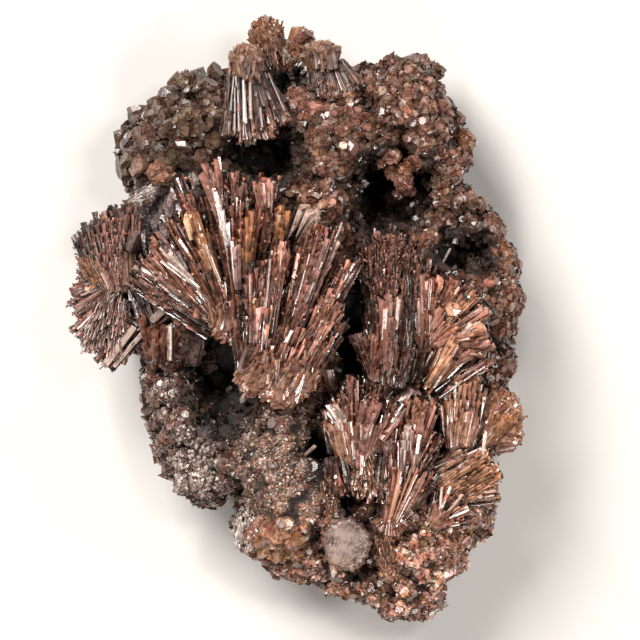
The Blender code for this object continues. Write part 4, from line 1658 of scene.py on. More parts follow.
@dataclass(frozen=True)
class PalePlate:
    """The pale plate with its scalloped edge and sugary face."""

    middle: Point = (6.6, -29.0, 22.3)
    radius: float = 3.2
    longer: float = 1.14
    lobes: int = 14
    scallop: float = 0.06
    thickness: float = 2.6
    tilt: tuple[float, float] = (8.0, -6.0)
    rings: int = 26
    spokes: int = 150
    face_colour: Colour = (0.19, 0.135, 0.122)
    tan_colour: Colour = (0.18, 0.10, 0.06)

    def outline(self, angles: Array) -> Array:
        """Give the scalloped edge's reach at some angles, as a share of the radius."""
        waves = np.cos(self.lobes * angles + 0.6 * np.sin(2 * angles))
        edge = 1 - self.scallop * (0.5 - 0.5 * waves)
        return edge * (1 + 0.03 * np.sin(5 * angles + 1) + 0.03 * np.sin(23 * angles))

    def points(self) -> Array:
        """Give the plate's points about its own middle: the face from the middle out, the back."""
        half = self.thickness / 2
        angles = math.tau * np.arange(self.spokes) / self.spokes
        edge = self.outline(angles)
        points = [(0.0, 0.0, half)]
        rounds = []
        for ring in range(1, self.rings + 1):
            share = ring / self.rings
            level = half * (0.85 * math.sqrt(max(0.0, 1 - share ** 14)) + 0.1)
            rounds.append((self.radius * share * (edge * share + 1 - share), level))
        rounds.append((self.radius * 0.86 * edge, -half * 0.7))
        for radii, level in rounds:
            for angle, radius in zip(angles, radii, strict=True):
                points.append((radius * math.cos(angle), radius * math.sin(angle), level))
        points.append((0.0, 0.0, -half * 0.7))
        flat = np.array(points)
        flat[:, 1] *= self.longer
        rough = 0.05 * wander(*(flat / 0.9).T, 1.0) + 0.025 * wander(*(flat / 0.3).T, 1.0)
        flat[:, 2] += rough * (flat[:, 2] > 0)
        return flat

    def faces(self) -> list[list[int]]:
        """Give the corners of the plate's faces, spoke by spoke."""
        faces: list[list[int]] = []
        for index in range(self.spokes):
            after = (index + 1) % self.spokes
            faces.append([0, 1 + index, 1 + after])
            for ring in range(self.rings):
                low = 1 + ring * self.spokes
                high = low + self.spokes
                faces.append([low + index, high + index, high + after, low + after])
            last = 1 + self.rings * self.spokes
            faces.append([last + index, last + self.spokes, last + after])
        return faces

    def build(self, material: Material) -> Piece:
        """Make the plate, with a tan lower part."""
        flat = self.points()
        faces = self.faces()
        lean, roll = (math.radians(value) for value in self.tilt)
        placed = flat @ (turned(0, lean) @ turned(1, roll)).T + np.array(self.middle)
        tan = np.clip(-flat[:, 1] / self.radius * 1.6 - 0.5, 0, 1)[:, None]
        tints = np.array(self.face_colour) * (1 - tan) + np.array(self.tan_colour) * tan
        stock = MeshStock()
        loops = np.array([corner for face in faces for corner in face])
        stock.add(placed, tints, flat, loops, np.array([len(face) for face in faces]))
        return stock.make("pale_plate_face", material, ("pale_plate",))


@dataclass(frozen=True)
class Lamp:
    """A square light: its place and side in metres, its power in watts and its colour."""

    name: str
    place: Point
    size: float
    power: float
    colour: Colour

    def build(self, target: Point) -> None:
        """Hang the light so that it faces a place."""
        lamp = bpy.data.lights.new(self.name, "AREA")
        lamp.size = self.size
        lamp.energy = self.power
        lamp.color = self.colour
        holder = bpy.data.objects.new(self.name, lamp)
        holder.location = self.place
        way = Vector(target) - Vector(self.place)
        holder.rotation_euler = way.to_track_quat("-Z", "Y").to_euler()
        bpy.context.scene.collection.objects.link(holder)


@dataclass(frozen=True)
class Studio:
    """The floor, the lights and the camera."""

    floor_size: float = 3.0
    middle: tuple[float, float] = (3.1, 0.0)
    height: float = 0.72
    view_width: float = 83.2
    view_level: float = 20.0
    sensor: float = 36.0
    ambient: float = 0.025
    lit_place: Point = (0.0, 0.0, 0.02)
    lamps: tuple[Lamp, ...] = (
        Lamp("key", (-0.24, 0.28, 0.46), 0.3, 7.4, (1.0, 0.96, 0.92)),
        Lamp("side", (0.42, -0.05, 0.30), 0.1, 1.5, (1.0, 0.95, 0.9)),
        Lamp("front", (0.02, -0.32, 0.5), 0.1, 1.8, (1.0, 0.95, 0.9)),
        Lamp("glint", (0.16, 0.10, 0.6), 0.07, 0.9, (1.0, 0.97, 0.94)),
    )

    def build(self) -> None:
        """Make the studio."""
        half = self.floor_size / 2
        corners = [(-half, -half, 0), (half, -half, 0), (half, half, 0), (-half, half, 0)]
        mesh = bpy.data.meshes.new("floor")
        mesh.from_pydata(corners, [], [(0, 1, 2, 3)])
        mesh.materials.append(FloorFinish().material())
        floor = bpy.data.objects.new("floor", mesh)
        bpy.context.scene.collection.objects.link(floor)
        for lamp in self.lamps:
            lamp.build(self.lit_place)
        world = bpy.data.worlds.new("studio")
        world.use_nodes = True
        sky = world.node_tree.nodes["Background"]
        sky.inputs["Color"].default_value = (1.0, 0.97, 0.94, 1.0)
        sky.inputs["Strength"].default_value = self.ambient
        bpy.context.scene.world = world
        bpy.context.scene.view_settings.view_transform = "Standard"
        lens = bpy.data.cameras.new("camera")
        lens.sensor_width = self.sensor
        lens.lens = self.sensor * (self.height - self.view_level * MM) / (self.view_width * MM)
        lens.clip_start = 0.01
        camera = bpy.data.objects.new("camera", lens)
        camera.location = (self.middle[0] * MM, self.middle[1] * MM, self.height)
        bpy.context.scene.collection.objects.link(camera)
        bpy.context.scene.camera = camera


BROWN_MIX = Hues((
    (Tint.BROWN, 5), (Tint.ROSY, 4), (Tint.ORANGE, 1.5), (Tint.VIOLET_GREY, 2), (Tint.DARK_RED, 1),
))
ROSY_MIX = Hues(((Tint.ROSY, 5), (Tint.TAN, 3), (Tint.BROWN, 3), (Tint.ORANGE, 1)))
TAN_MIX = Hues(((Tint.TAN, 4), (Tint.ORANGE, 3), (Tint.ROSY, 2), (Tint.BROWN, 1.5)))
KNOB_MIX = Hues(((Tint.TAN, 4), (Tint.ROSY, 3), (Tint.PALE, 0.7), (Tint.ORANGE, 1)), 0.3)
ORANGE_MIX = Hues(((Tint.ORANGE, 5), (Tint.TAN, 3), (Tint.ROSY, 1)), 0.15)
BEAD_MIX = Hues(((Tint.OLIVE, 6), (Tint.BROWN, 3), (Tint.VIOLET_GREY, 1.2), (Tint.TAN, 0.4)), 0.2)
FROTH_MIX = Hues((
    (Tint.BROWN, 4), (Tint.ROSY, 3), (Tint.TAN, 1.5), (Tint.OLIVE, 1.5), (Tint.PALE, 0.4),
), 0.3)
DRUSE_MIX = Hues((
    (Tint.TAN, 3), (Tint.PALE, 2.4), (Tint.LAVENDER, 2.4), (Tint.GREY, 1.6), (Tint.OLIVE, 2),
), 0.3)
FROST_MIX = Hues((
    (Tint.LAVENDER, 4), (Tint.PALE, 1.5), (Tint.VIOLET_GREY, 3), (Tint.BROWN, 3),
), 0.3)
LOW_MIX = Hues((
    (Tint.TAN, 2), (Tint.ROSY, 1.8), (Tint.OLIVE, 2.5), (Tint.PALE, 1), (Tint.LAVENDER, 1.8),
), 0.28)
LEFT_MIX = Hues(((Tint.BROWN, 3), (Tint.VIOLET_GREY, 3), (Tint.ROSY, 2)), 0.3)
GAP_MIX = Hues(((Tint.DARK_RED, 3), (Tint.BROWN, 4), (Tint.VIOLET_GREY, 1)), 0.3)
SIDE_MIX = Hues(((Tint.BROWN, 4), (Tint.OLIVE, 2), (Tint.VIOLET_GREY, 2)), 0.3)
FROSTING_MIX = Hues(((Tint.LAVENDER, 2), (Tint.WHITE, 3)), 0.2)
GREY_MIX = Hues(((Tint.GREY, 5), (Tint.LAVENDER, 1.2), (Tint.OLIVE, 1)), 0.3)
WHITE_MIX = Hues(((Tint.WHITE, 3), (Tint.PALE, 1)), 0.12)
CLEAR_MIX = Hues(((Tint.WHITE, 1),), 0.1)

SHEAF_SEED = 5
SHEAVES = (
    Sheaf("central_spray", (
        Fan((-8.3, -0.8, 22.0), (
            Row(152, 64, (14, 15, 15.5, 19.5, 21, 19.5, 17), 8, 2.6, 9),
            Row(148, 72, (12.5, 14, 17, 18, 16), -9, 2.7, 6),
            Row(185, 345, (2.8, 2.4, 3), 2, 2.6, 4, RowFinish.CAPPED),
        ), waist=2.4),
        Fan((-4.6, -8.6, 26.0), (
            Row(98, 38, (11, 16, 19, 21.5, 22.5, 21, 15, 12), 13, 2.6, 8),
            Row(100, 44, (12, 16, 19, 20, 14), -2, 2.7, 6),
            Row(92, 54, (13, 15), -18, 3.2, 2),
            Row(175, 355, (3.4, 3, 3.4, 4.8), -6, 3.0, 5, RowFinish.CAPPED),
            Row(215, 330, (3.4, 3.4), -42, 3.4, 2, RowFinish.CAPPED),
        ), waist=3.2, shift=(1.6, 0.4, 0.0)),
    ), "brown_crystal", BROWN_MIX, (
        Named((-15.6, 3.9, 22.6), (-20.4, 6.4, 24.6), 1.7, Tint.PALE, Habit.COLUMN, 5),
        Named((-11.8, 3.4, 23.2), (-18.1, 9.1, 25.2), 0.9, Tint.PALE, Habit.COLUMN, 4),
        Named((-13.8, 5.6, 23.6), (-17.8, 11.4, 25.6), 1.0, Tint.VIOLET_GREY, Habit.COLUMN, 4),
        Named((-13.3, 5.1, 23.8), (-16.4, 8.7, 25.2), 0.65, Tint.PALE),
        Named((-12.7, 6.8, 24), (-15.6, 10.9, 25.8), 0.78, Tint.BROWN, Habit.COLUMN, 2),
        Named((-13.5, 10.4, 25), (-14.2, 13.8, 26.2), 1.2, Tint.CREAM, Habit.TAPERED),
        Named((-9.8, 3.9, 23.6), (-12.9, 12.9, 26.2), 1.7, Tint.ORANGE, Habit.COLUMN, 7),
        # Painted highlight: white crystals along a bright streak on the fan.
        Named((-8.7, 9.1, 25), (-10.0, 16.0, 26.9), 0.9, Tint.WHITE, Habit.COLUMN, 5),
        Named((-9.1, 10.4, 25.4), (-9.6, 14.0, 26.8), 0.52, Tint.WHITE),
        Named((-9.6, 12.7, 25.6), (-12.0, 20.2, 26.8), 1.2, Tint.ROSY, Habit.COLUMN, 3),
        Named((-9.4, 12.2, 25), (-10.4, 19.9, 26.4), 1.6, Tint.ROSY, Habit.COLUMN, 5),
        Named((-7.5, 3.6, 24), (-7.8, 10.8, 26), 1.2, Tint.VIOLET_GREY, Habit.COLUMN, 2),
        Named((-6.9, 5.2, 24.4), (-6.9, 12.3, 26), 0.91, Tint.BROWN, Habit.COLUMN, 2),
        Named((-6.2, 4.4, 24.6), (-5.6, 13.8, 26.6), 1.6, Tint.ORANGE, Habit.COLUMN, 8),
        Named((-5.2, 0.5, 26.2), (-5.1, 7.5, 28.2), 1.6, Tint.VIOLET_GREY, Habit.TAPERED, 3),
        Named((-2.5, 1.8, 27.4), (-1.6, 10.7, 30.2), 1.7, Tint.ROSY, Habit.TAPERED, 4),
        Named((-3.9, 14.0, 24.6), (-4.2, 18.2, 25.8), 2.6, Tint.ROSY, Habit.BARREL, 12),
        Named((-2.0, 9.4, 25.6), (-1.6, 14.7, 27.6), 1.8, Tint.ORANGE, Habit.COLUMN, 10),
        Named((-0.3, 10.0, 26), (2.2, 14.4, 28), 2.5, Tint.PALE, Habit.CHIP, 12),
        # Painted glints: two small white crystals.
        Named((-6.4, 0.7, 26), (-6.0, 2.6, 27), 0.65, Tint.WHITE),
        Named((-3.4, 1.8, 27), (-3.2, 3.4, 27.8), 0.52, Tint.WHITE),
        Named((-0.4, 2.6, 28.6), (3.1, 11.2, 31.2), 0.91, Tint.VIOLET_GREY, Habit.COLUMN, 2),
        Named((0.8, 1.0, 28.8), (5.5, 10.1, 31.4), 0.78, Tint.PALE),
        Named((-1.0, 1.3, 28.4), (1.0, 9.6, 30.8), 0.78, Tint.BROWN, Habit.COLUMN, 2),
        Named((1.8, 0.3, 28.4), (7.0, 7.5, 30.8), 0.91, Tint.ROSY, Habit.COLUMN, 2),
        # Painted glint: a small white crystal.
        Named((-2.0, -4.2, 27.6), (-0.5, -1.3, 28.8), 0.65, Tint.WHITE),
        Named((0.5, -2.6, 28.2), (3.4, 1.0, 29.4), 0.52, Tint.PALE),
        Named((2.2, -3.4, 27.6), (4.3, 4.2, 29.6), 3.0, Tint.ORANGE, Habit.BARREL, 60, 0.2),
        Named((4.0, -3.0, 26.8), (5.4, 2.6, 28.4), 2.2, Tint.TAN, Habit.BARREL, 36, 0.25),
    ), (
        Cap((-7.6, 2.6, 22.8), (-8.2, -0.6, 22.4), (2.2, 3.2, 2.2), ROSY_MIX, 300, 0.9),
        Cap((-1.0, -4.6, 27.2), (-2.2, -7.8, 26.6), (2.8, 3.9, 3.0), KNOB_MIX, 420, 1.1),
        Cap((-3.2, -4.4, 27.0), (-4.9, -7.0, 26.0), (2.6, 2.6, 2.8), KNOB_MIX, 240, 1.1),
        Cap((1.2, -4.2, 27.0), (0.6, -7.0, 26.2), (2.2, 2.2, 2.6), KNOB_MIX, 180, 1.1),
    ), shade=1.38, seed=21),
    Sheaf("tall_sheaf", (
        Fan((9.9, -8.5, 25.0), (
            Row(93, 75, (18.9, 19.5, 20, 20.8), 5, 2.3, 4),
            Row(92, 66, (17, 18, 13), -6, 2.4, 4),
            Row(104, 52, (7, 9, 6.5), 2, 2.4, 3),
        ), waist=1.2, shift=(1.5, 0.0, 0.0)),
        Fan((7.7, -17.4, 23.5), (
            Row(122, 58, (7, 8.6, 10, 11.5, 8.3), 8, 2.2, 5),
            Row(115, 62, (8, 10, 10), -12, 2.6, 4),
            Row(255, 288, (5.6, 6.2), -2, 3.4, 2),
        ), waist=2.4, knob=(2.0, 2.6, 1.7)),
    ), "brown_crystal", BROWN_MIX, (
        Named((12.0, 4.2, 25.8), (12.1, 11.6, 27.2), 4.6, Tint.ROSY, Habit.CHIP, 300, 0.13),
        Named((12.0, -3.0, 25.6), (12.1, 6.0, 27.0), 4.4, Tint.ROSY, Habit.CHIP, 260, 0.12),
        # Painted shade: black-brown crystal lines standing in for the dark furrows along the
        # column.
        Named((12.9, -6.0, 27.0), (12.6, 10.6, 28.4), 0.7, Tint.BLACK_BROWN, Habit.CHIP, 40, 0.25),
        Named((11.0, -2.0, 27.0), (10.8, 9.6, 28.2), 0.6, Tint.BLACK_BROWN, Habit.CHIP, 26, 0.25),
        Named((14.4, -7.6, 26.4), (15.0, 8.5, 28.2), 1.3, Tint.BLACK_BROWN, Habit.CHIP, 90, 0.2),
        Named((11.6, -6.8, 26), (12.3, 2.6, 27.8), 2.1, Tint.ROSY, Habit.COLUMN, 6),
        Named((9.9, -9.4, 26), (10.9, -1.3, 27.4), 1.6, Tint.BROWN, Habit.COLUMN, 5),
        Named((7.4, -15.6, 24.6), (4.5, -11.1, 25.8), 2, Tint.PALE, Habit.COLUMN, 14),
        Named((8.3, -16.4, 25), (9.9, -10.1, 26.6), 2.1, Tint.ROSY, Habit.COLUMN, 7),
        Named((8.1, -19.5, 24.4), (7.8, -13.0, 26), 2.1, Tint.ROSY, Habit.COLUMN, 8),
        Named((8.6, -16.9, 24.2), (9.2, -23.0, 24), 3.9, Tint.TAN, Habit.CHIP, 320, 0.18),
    ), splinters=1.1, granular=1.9, shade=1.15, seed=22),
    Sheaf("right_fan", (
        Fan((17.9, -2.0, 23.5), (
            Row(108, -16, (9, 7.6, 7.8, 8.2, 8.8, 8.2, 7, 7), 14, 2.3, 7, RowFinish.EVEN),
            Row(95, -5, (8, 7.5, 8, 7), -14, 2.7, 4, RowFinish.EVEN),
        ), waist=2.2, knob=(1.8, 2.4, 1.6)),
        Fan((13.8, -8.1, 22.5), (
            Row(88, 72, (15.2, 15.9, 15), 4, 2.3, 3),
            Row(80, 58, (11.5, 9.5), -9, 2.8, 2),
            Row(214, 234, (6.2, 7.4), 3, 3.1, 2),
        ), waist=1.3),
        Fan((17.2, -8.8, 22.0), (
            Row(66, 28, (7.2, 7.8, 8.5), 6, 2.6, 3),
        ), waist=1.2),
    ), "brown_crystal", ROSY_MIX, (
        Named((20.2, 1.4, 23.4), (20.2, 1.4, 27.2), 2.5, Tint.TAN, Habit.BARREL),
        Named((16.8, -9.4, 23.4), (20.4, -2.9, 25.6), 1.8, Tint.TAN, Habit.COLUMN, 9),
        Named((20.7, -5.5, 24), (24.7, -2.3, 25.6), 2.2, Tint.ROSY, Habit.COLUMN, 12),
        Named((19.8, -4.2, 24.4), (23.9, 0.3, 26.4), 1, Tint.PALE, Habit.COLUMN, 6),
        Named((15.0, -9.4, 23.6), (10.8, -15.1, 24.4), 2, Tint.ROSY, Habit.COLUMN, 7),
        Named((15.9, -3.9, 24.4), (16.1, 6.2, 27), 1.8, Tint.ROSY, Habit.COLUMN, 6),
        Named((17.0, -3.2, 24.6), (17.7, 5.2, 26.8), 1, Tint.BROWN, Habit.COLUMN, 4),
        # Painted shade: a black-brown barrel standing in for the dark hole beside the hexagonal
        # end.
        Named((21.8, 2.9, 25), (22.0, 3.0, 27.6), 1.1, Tint.BLACK_BROWN, Habit.BARREL),
    ), shade=1.5, seed=23),
    Sheaf("lower_fan", (
        Fan((12.3, -26.0, 21.5), (
            Row(95, 52, (10.4, 13.4, 15.8, 16.5, 16, 12, 8.2), 8, 2.3, 6),
            Row(92, 56, (10, 14, 14, 9), -7, 2.5, 5),
            Row(205, 330, (2.6, 2.6), 0, 2.6, 3, RowFinish.ROUND),
        ), waist=0.9, knob=(1.3, 1.3, 1.2)),
    ), "brown_crystal", BROWN_MIX, (
        Named((12.5, -25.2, 22), (12.0, -15.1, 24.4), 0.91, Tint.BROWN, Habit.COLUMN, 3),
        Named((13.0, -25.5, 22.2), (13.0, -14.8, 24.8), 0.65, Tint.DARK_RED, Habit.COLUMN, 2),
        Named((13.7, -25.0, 22.6), (13.9, -15.6, 25), 0.65, Tint.VIOLET_GREY, Habit.COLUMN, 2),
        # Painted highlight: a pale bundle along the fan's bright streak.
        Named((14.0, -18.2, 24.6), (14.4, -12.9, 25.4), 0.9, Tint.PALE, Habit.COLUMN, 3),
        Named((15.1, -19.5, 24.4), (16.1, -11.4, 25.6), 1.6, Tint.ROSY, Habit.COLUMN, 6),
        Named((15.7, -13.7, 25), (16.0, -10.1, 26), 1.8, Tint.TAN, Habit.CHIP, 24, 0.4),
    ), shade=1.35, seed=24),
    Sheaf("small_fan", (
        Fan((17.9, -26.4, 20.3), (
            Row(84, 8, (4.5, 5, 5.5, 5, 4.4), 14, 1.6, 5),
            Row(68, 24, (4.8, 4.8), -14, 2.2, 2),
        ), waist=0.6, knob=(0.9, 1.1, 0.9)),
    ), "brown_crystal", ROSY_MIX, (
        # Painted glints: thin white and pale crystals on the small fan.
        Named((18.2, -26.1, 21.2), (20.0, -21.6, 22.8), 0.39, Tint.WHITE),
        Named((18.5, -26.3, 21.2), (18.9, -21.6, 22.6), 0.39, Tint.PALE),
        Named((18.7, -26.3, 21.2), (22.4, -24.6, 22.4), 0.39, Tint.WHITE),
        Named((18.7, -26.0, 21.4), (21.6, -22.6, 22.8), 0.39, Tint.PALE),
    ), shade=1.3, seed=25),
    Sheaf("shelf_sheaf", (
        Fan((18.6, -21.2, 20.0), (
            Row(46, -6, (5.5, 7.2, 7.6, 7.4), 8, 2.7, 4, RowFinish.EVEN),
            Row(38, 4, (6, 6.6), -14, 3.0, 2),
        ), waist=1.8, knob=(1.5, 2.2, 1.4)),
    ), "tan_crystal", TAN_MIX, (
        Named((17.9, -23.4, 20.6), (25.2, -17.9, 23), 3.4, Tint.TAN, Habit.CHIP, 150, 0.35),
        Named((19.5, -24.2, 20.4), (25.5, -20.8, 22.4), 2.3, Tint.TAN, Habit.CHIP, 70, 0.35),
        Named((24.3, -17.7, 22.6), (24.7, -14.3, 23.4), 0.65, Tint.PALE, Habit.COLUMN, 2),
    ), shade=1.5, seed=26),
    Sheaf("upright_sheaf", (
        Fan((21.2, -16.6, 19.3), (
            Row(100, 68, (9.6, 10.9, 10.4, 8.4), 4, 2.5, 4),
            Row(96, 74, (9.6, 9.6), -10, 2.8, 2),
        ), waist=1.5, knob=(1.5, 1.8, 1.4)),
    ), "tan_crystal", TAN_MIX, (
        Named((20.3, -16.6, 20.2), (20.7, -6.0, 22.4), 3.1, Tint.TAN, Habit.CHIP, 60, 0.4),
        Named((22.1, -15.6, 20.2), (22.6, -7.8, 22), 1.8, Tint.ROSY, Habit.CHIP, 24, 0.4),
    ), shade=1.5, seed=27),
    Sheaf("edge_fan", (
        Fan((23.9, -15.6, 17.2), (
            Row(84, 6, (7.4, 8.4, 8.2, 7.2, 5.8, 4.5), 2, 2.2, 7, RowFinish.CAPPED),
            Row(72, 20, (7.6, 7.6, 6.0), -20, 2.6, 4, RowFinish.CAPPED),
        ), waist=1.0, knob=(1.2, 1.5, 1.3)),
    ), "tan_crystal", ORANGE_MIX, caps=(
        Cap((23.2, -16.6, 17.0), (25.7, -12.9, 17.2), (3.6, 3.7, 2.8), ORANGE_MIX, 520, 0.35),
        Cap((24.0, -16.0, 17.0), (27.2, -14.9, 17.0), (2.0, 2.2, 2.0), TAN_MIX, 160, 0.5),
    ), shade=1.5, seed=28),
    Sheaf("left_wing", (
        Fan((-22.4, 4.2, 17.0), (
            Row(128, 84, (9.3, 10, 10.6, 10.8), 4, 2.5, 5),
            Row(124, 92, (9.2, 9.6), -14, 2.7, 3),
            Row(168, 262, (6.4, 6.6, 8.2, 9.2, 8), -2, 2.4, 6, RowFinish.MATTED),
            Row(196, 240, (6.4, 7.6), -20, 2.9, 2),
            Row(282, 304, (5.6, 5.8), 2, 2.2, 2),
        ), waist=2.0, shift=(-1.0, 0.0, 0.0), knob=(1.4, 2.2, 1.8)),
        Fan((-19.6, -0.9, 17.6), (
            Row(218, 228, (7.6, 7.0), 6, 1.5, 2),
        ), waist=0.5),
    ), "brown_crystal", BROWN_MIX, (
        # Painted highlight: two prisms coloured pale for the bright pair on the wing.
        Named((-21.1, -0.9, 18.6), (-25.0, -6.0, 19.4), 1.0, Tint.PALE),
        Named((-19.9, -1.6, 18.4), (-23.8, -6.1, 18.8), 0.7, Tint.PALE),
        Named((-21.7, 9.2, 19.4), (-20.9, 11.3, 20.4), 1.4, Tint.VIOLET_GREY),
        Named((-18.7, -0.1, 19.8), (-15.9, 2.6, 21), 1.2, Tint.PALE),
        Named((-17.7, -0.5, 19.4), (-15.3, 1.4, 20.4), 0.78, Tint.DARK_RED),
        Named((-17.0, 2.3, 20.6), (-17.3, 5.1, 21.4), 0.65, Tint.WHITE),
        Named((-25.5, 4.2, 18.8), (-27.8, 8.3, 19.0), 2.5, Tint.ORANGE, Habit.CHIP, 110, 0.25),
        Named((-24.2, 3.9, 18.8), (-27.0, -5.2, 19.2), 3.6, Tint.BROWN, Habit.CHIP, 210, 0.16),
        Named((-22.9, 3.4, 18.8), (-24.0, -5.6, 19.2), 2.8, Tint.ROSY, Habit.CHIP, 150, 0.16),
        Named((-23.9, 4.4, 19.0), (-23.9, 12.2, 20.0), 3.1, Tint.ROSY, Habit.CHIP, 190, 0.16),
    ), splinters=1.1, granular=1.8, shade=1.1, dull=True, seed=29),
    Sheaf("top_left_sheaf", (
        Fan((-6.3, 32.3, 19.0), (
            Row(128, 58, (3.7, 3.6, 3.4), 8, 2.6, 3, RowFinish.CAPPED),
            Row(256, 304, (8.4, 9.2, 9.2, 8), 8, 2.0, 5, RowFinish.MATTED),
            Row(268, 292, (8.0, 8.0), -8, 2.5, 2),
        ), waist=1.6),
    ), "brown_crystal", BROWN_MIX, (
        Named((-6.8, 30.9, 20.8), (-6.6, 25.2, 22), 0.52, Tint.WHITE, Habit.COLUMN, 2),
        Named((-6.0, 30.7, 20.6), (-5.9, 25.7, 21.8), 0.52, Tint.PALE, Habit.COLUMN, 2),
        Named((-5.1, 30.2, 20.2), (-4.4, 23.9, 21.2), 1, Tint.DARK_RED, Habit.COLUMN, 3),
    ), (
        Cap((-6.4, 30.8, 19.2), (-6.4, 33.5, 19.8), (2.3, 2.2, 2.0), TAN_MIX, 260, 0.9),
    ), shade=0.85, dull=True, seed=30),
    Sheaf("top_knob", (
        Fan((-3.0, 33.4, 15.0), (
            Row(124, 36, (4.8, 6.0, 5.4, 4.6, 5.6, 5.2), 6, 2.0, 6, RowFinish.CAPPED),
            Row(108, 58, (4.4, 4.6), -16, 2.6, 2, RowFinish.CAPPED),
        ), waist=1.2),
    ), "tan_crystal", ORANGE_MIX, caps=(
        Cap((-2.6, 32.8, 14.6), (-3.8, 36.9, 15.6), (2.5, 2.2, 1.9), ORANGE_MIX, 260, 0.6),
        Cap((-1.6, 32.8, 14.4), (-0.3, 35.2, 15.2), (1.4, 1.6, 1.4), ORANGE_MIX, 90, 0.6),
        Cap((-0.8, 34.2, 14.4), (0.8, 37.0, 15.0), (1.2, 1.5, 1.2), BROWN_MIX, 60, 0.6),
    ), shade=0.85, seed=31),
    Sheaf("top_right_sheaf", (
        Fan((4.0, 33.2, 18.6), (
            Row(146, 52, (3.0, 3.2, 3.2), 4, 2.2, 3, RowFinish.CAPPED),
            Row(250, 320, (3.6, 4.6, 5.3, 5.2), 14, 1.8, 5, RowFinish.MATTED),
            Row(268, 302, (4.4, 4.4), -14, 2.3, 2),
        ), waist=1.6),
    ), "brown_crystal", ROSY_MIX, caps=(
        Cap((3.5, 32.4, 18.6), (3.2, 34.3, 19.2), (1.9, 2.4, 1.7), TAN_MIX, 200, 0.85),
    ), shade=0.8, dull=True, seed=32),
)

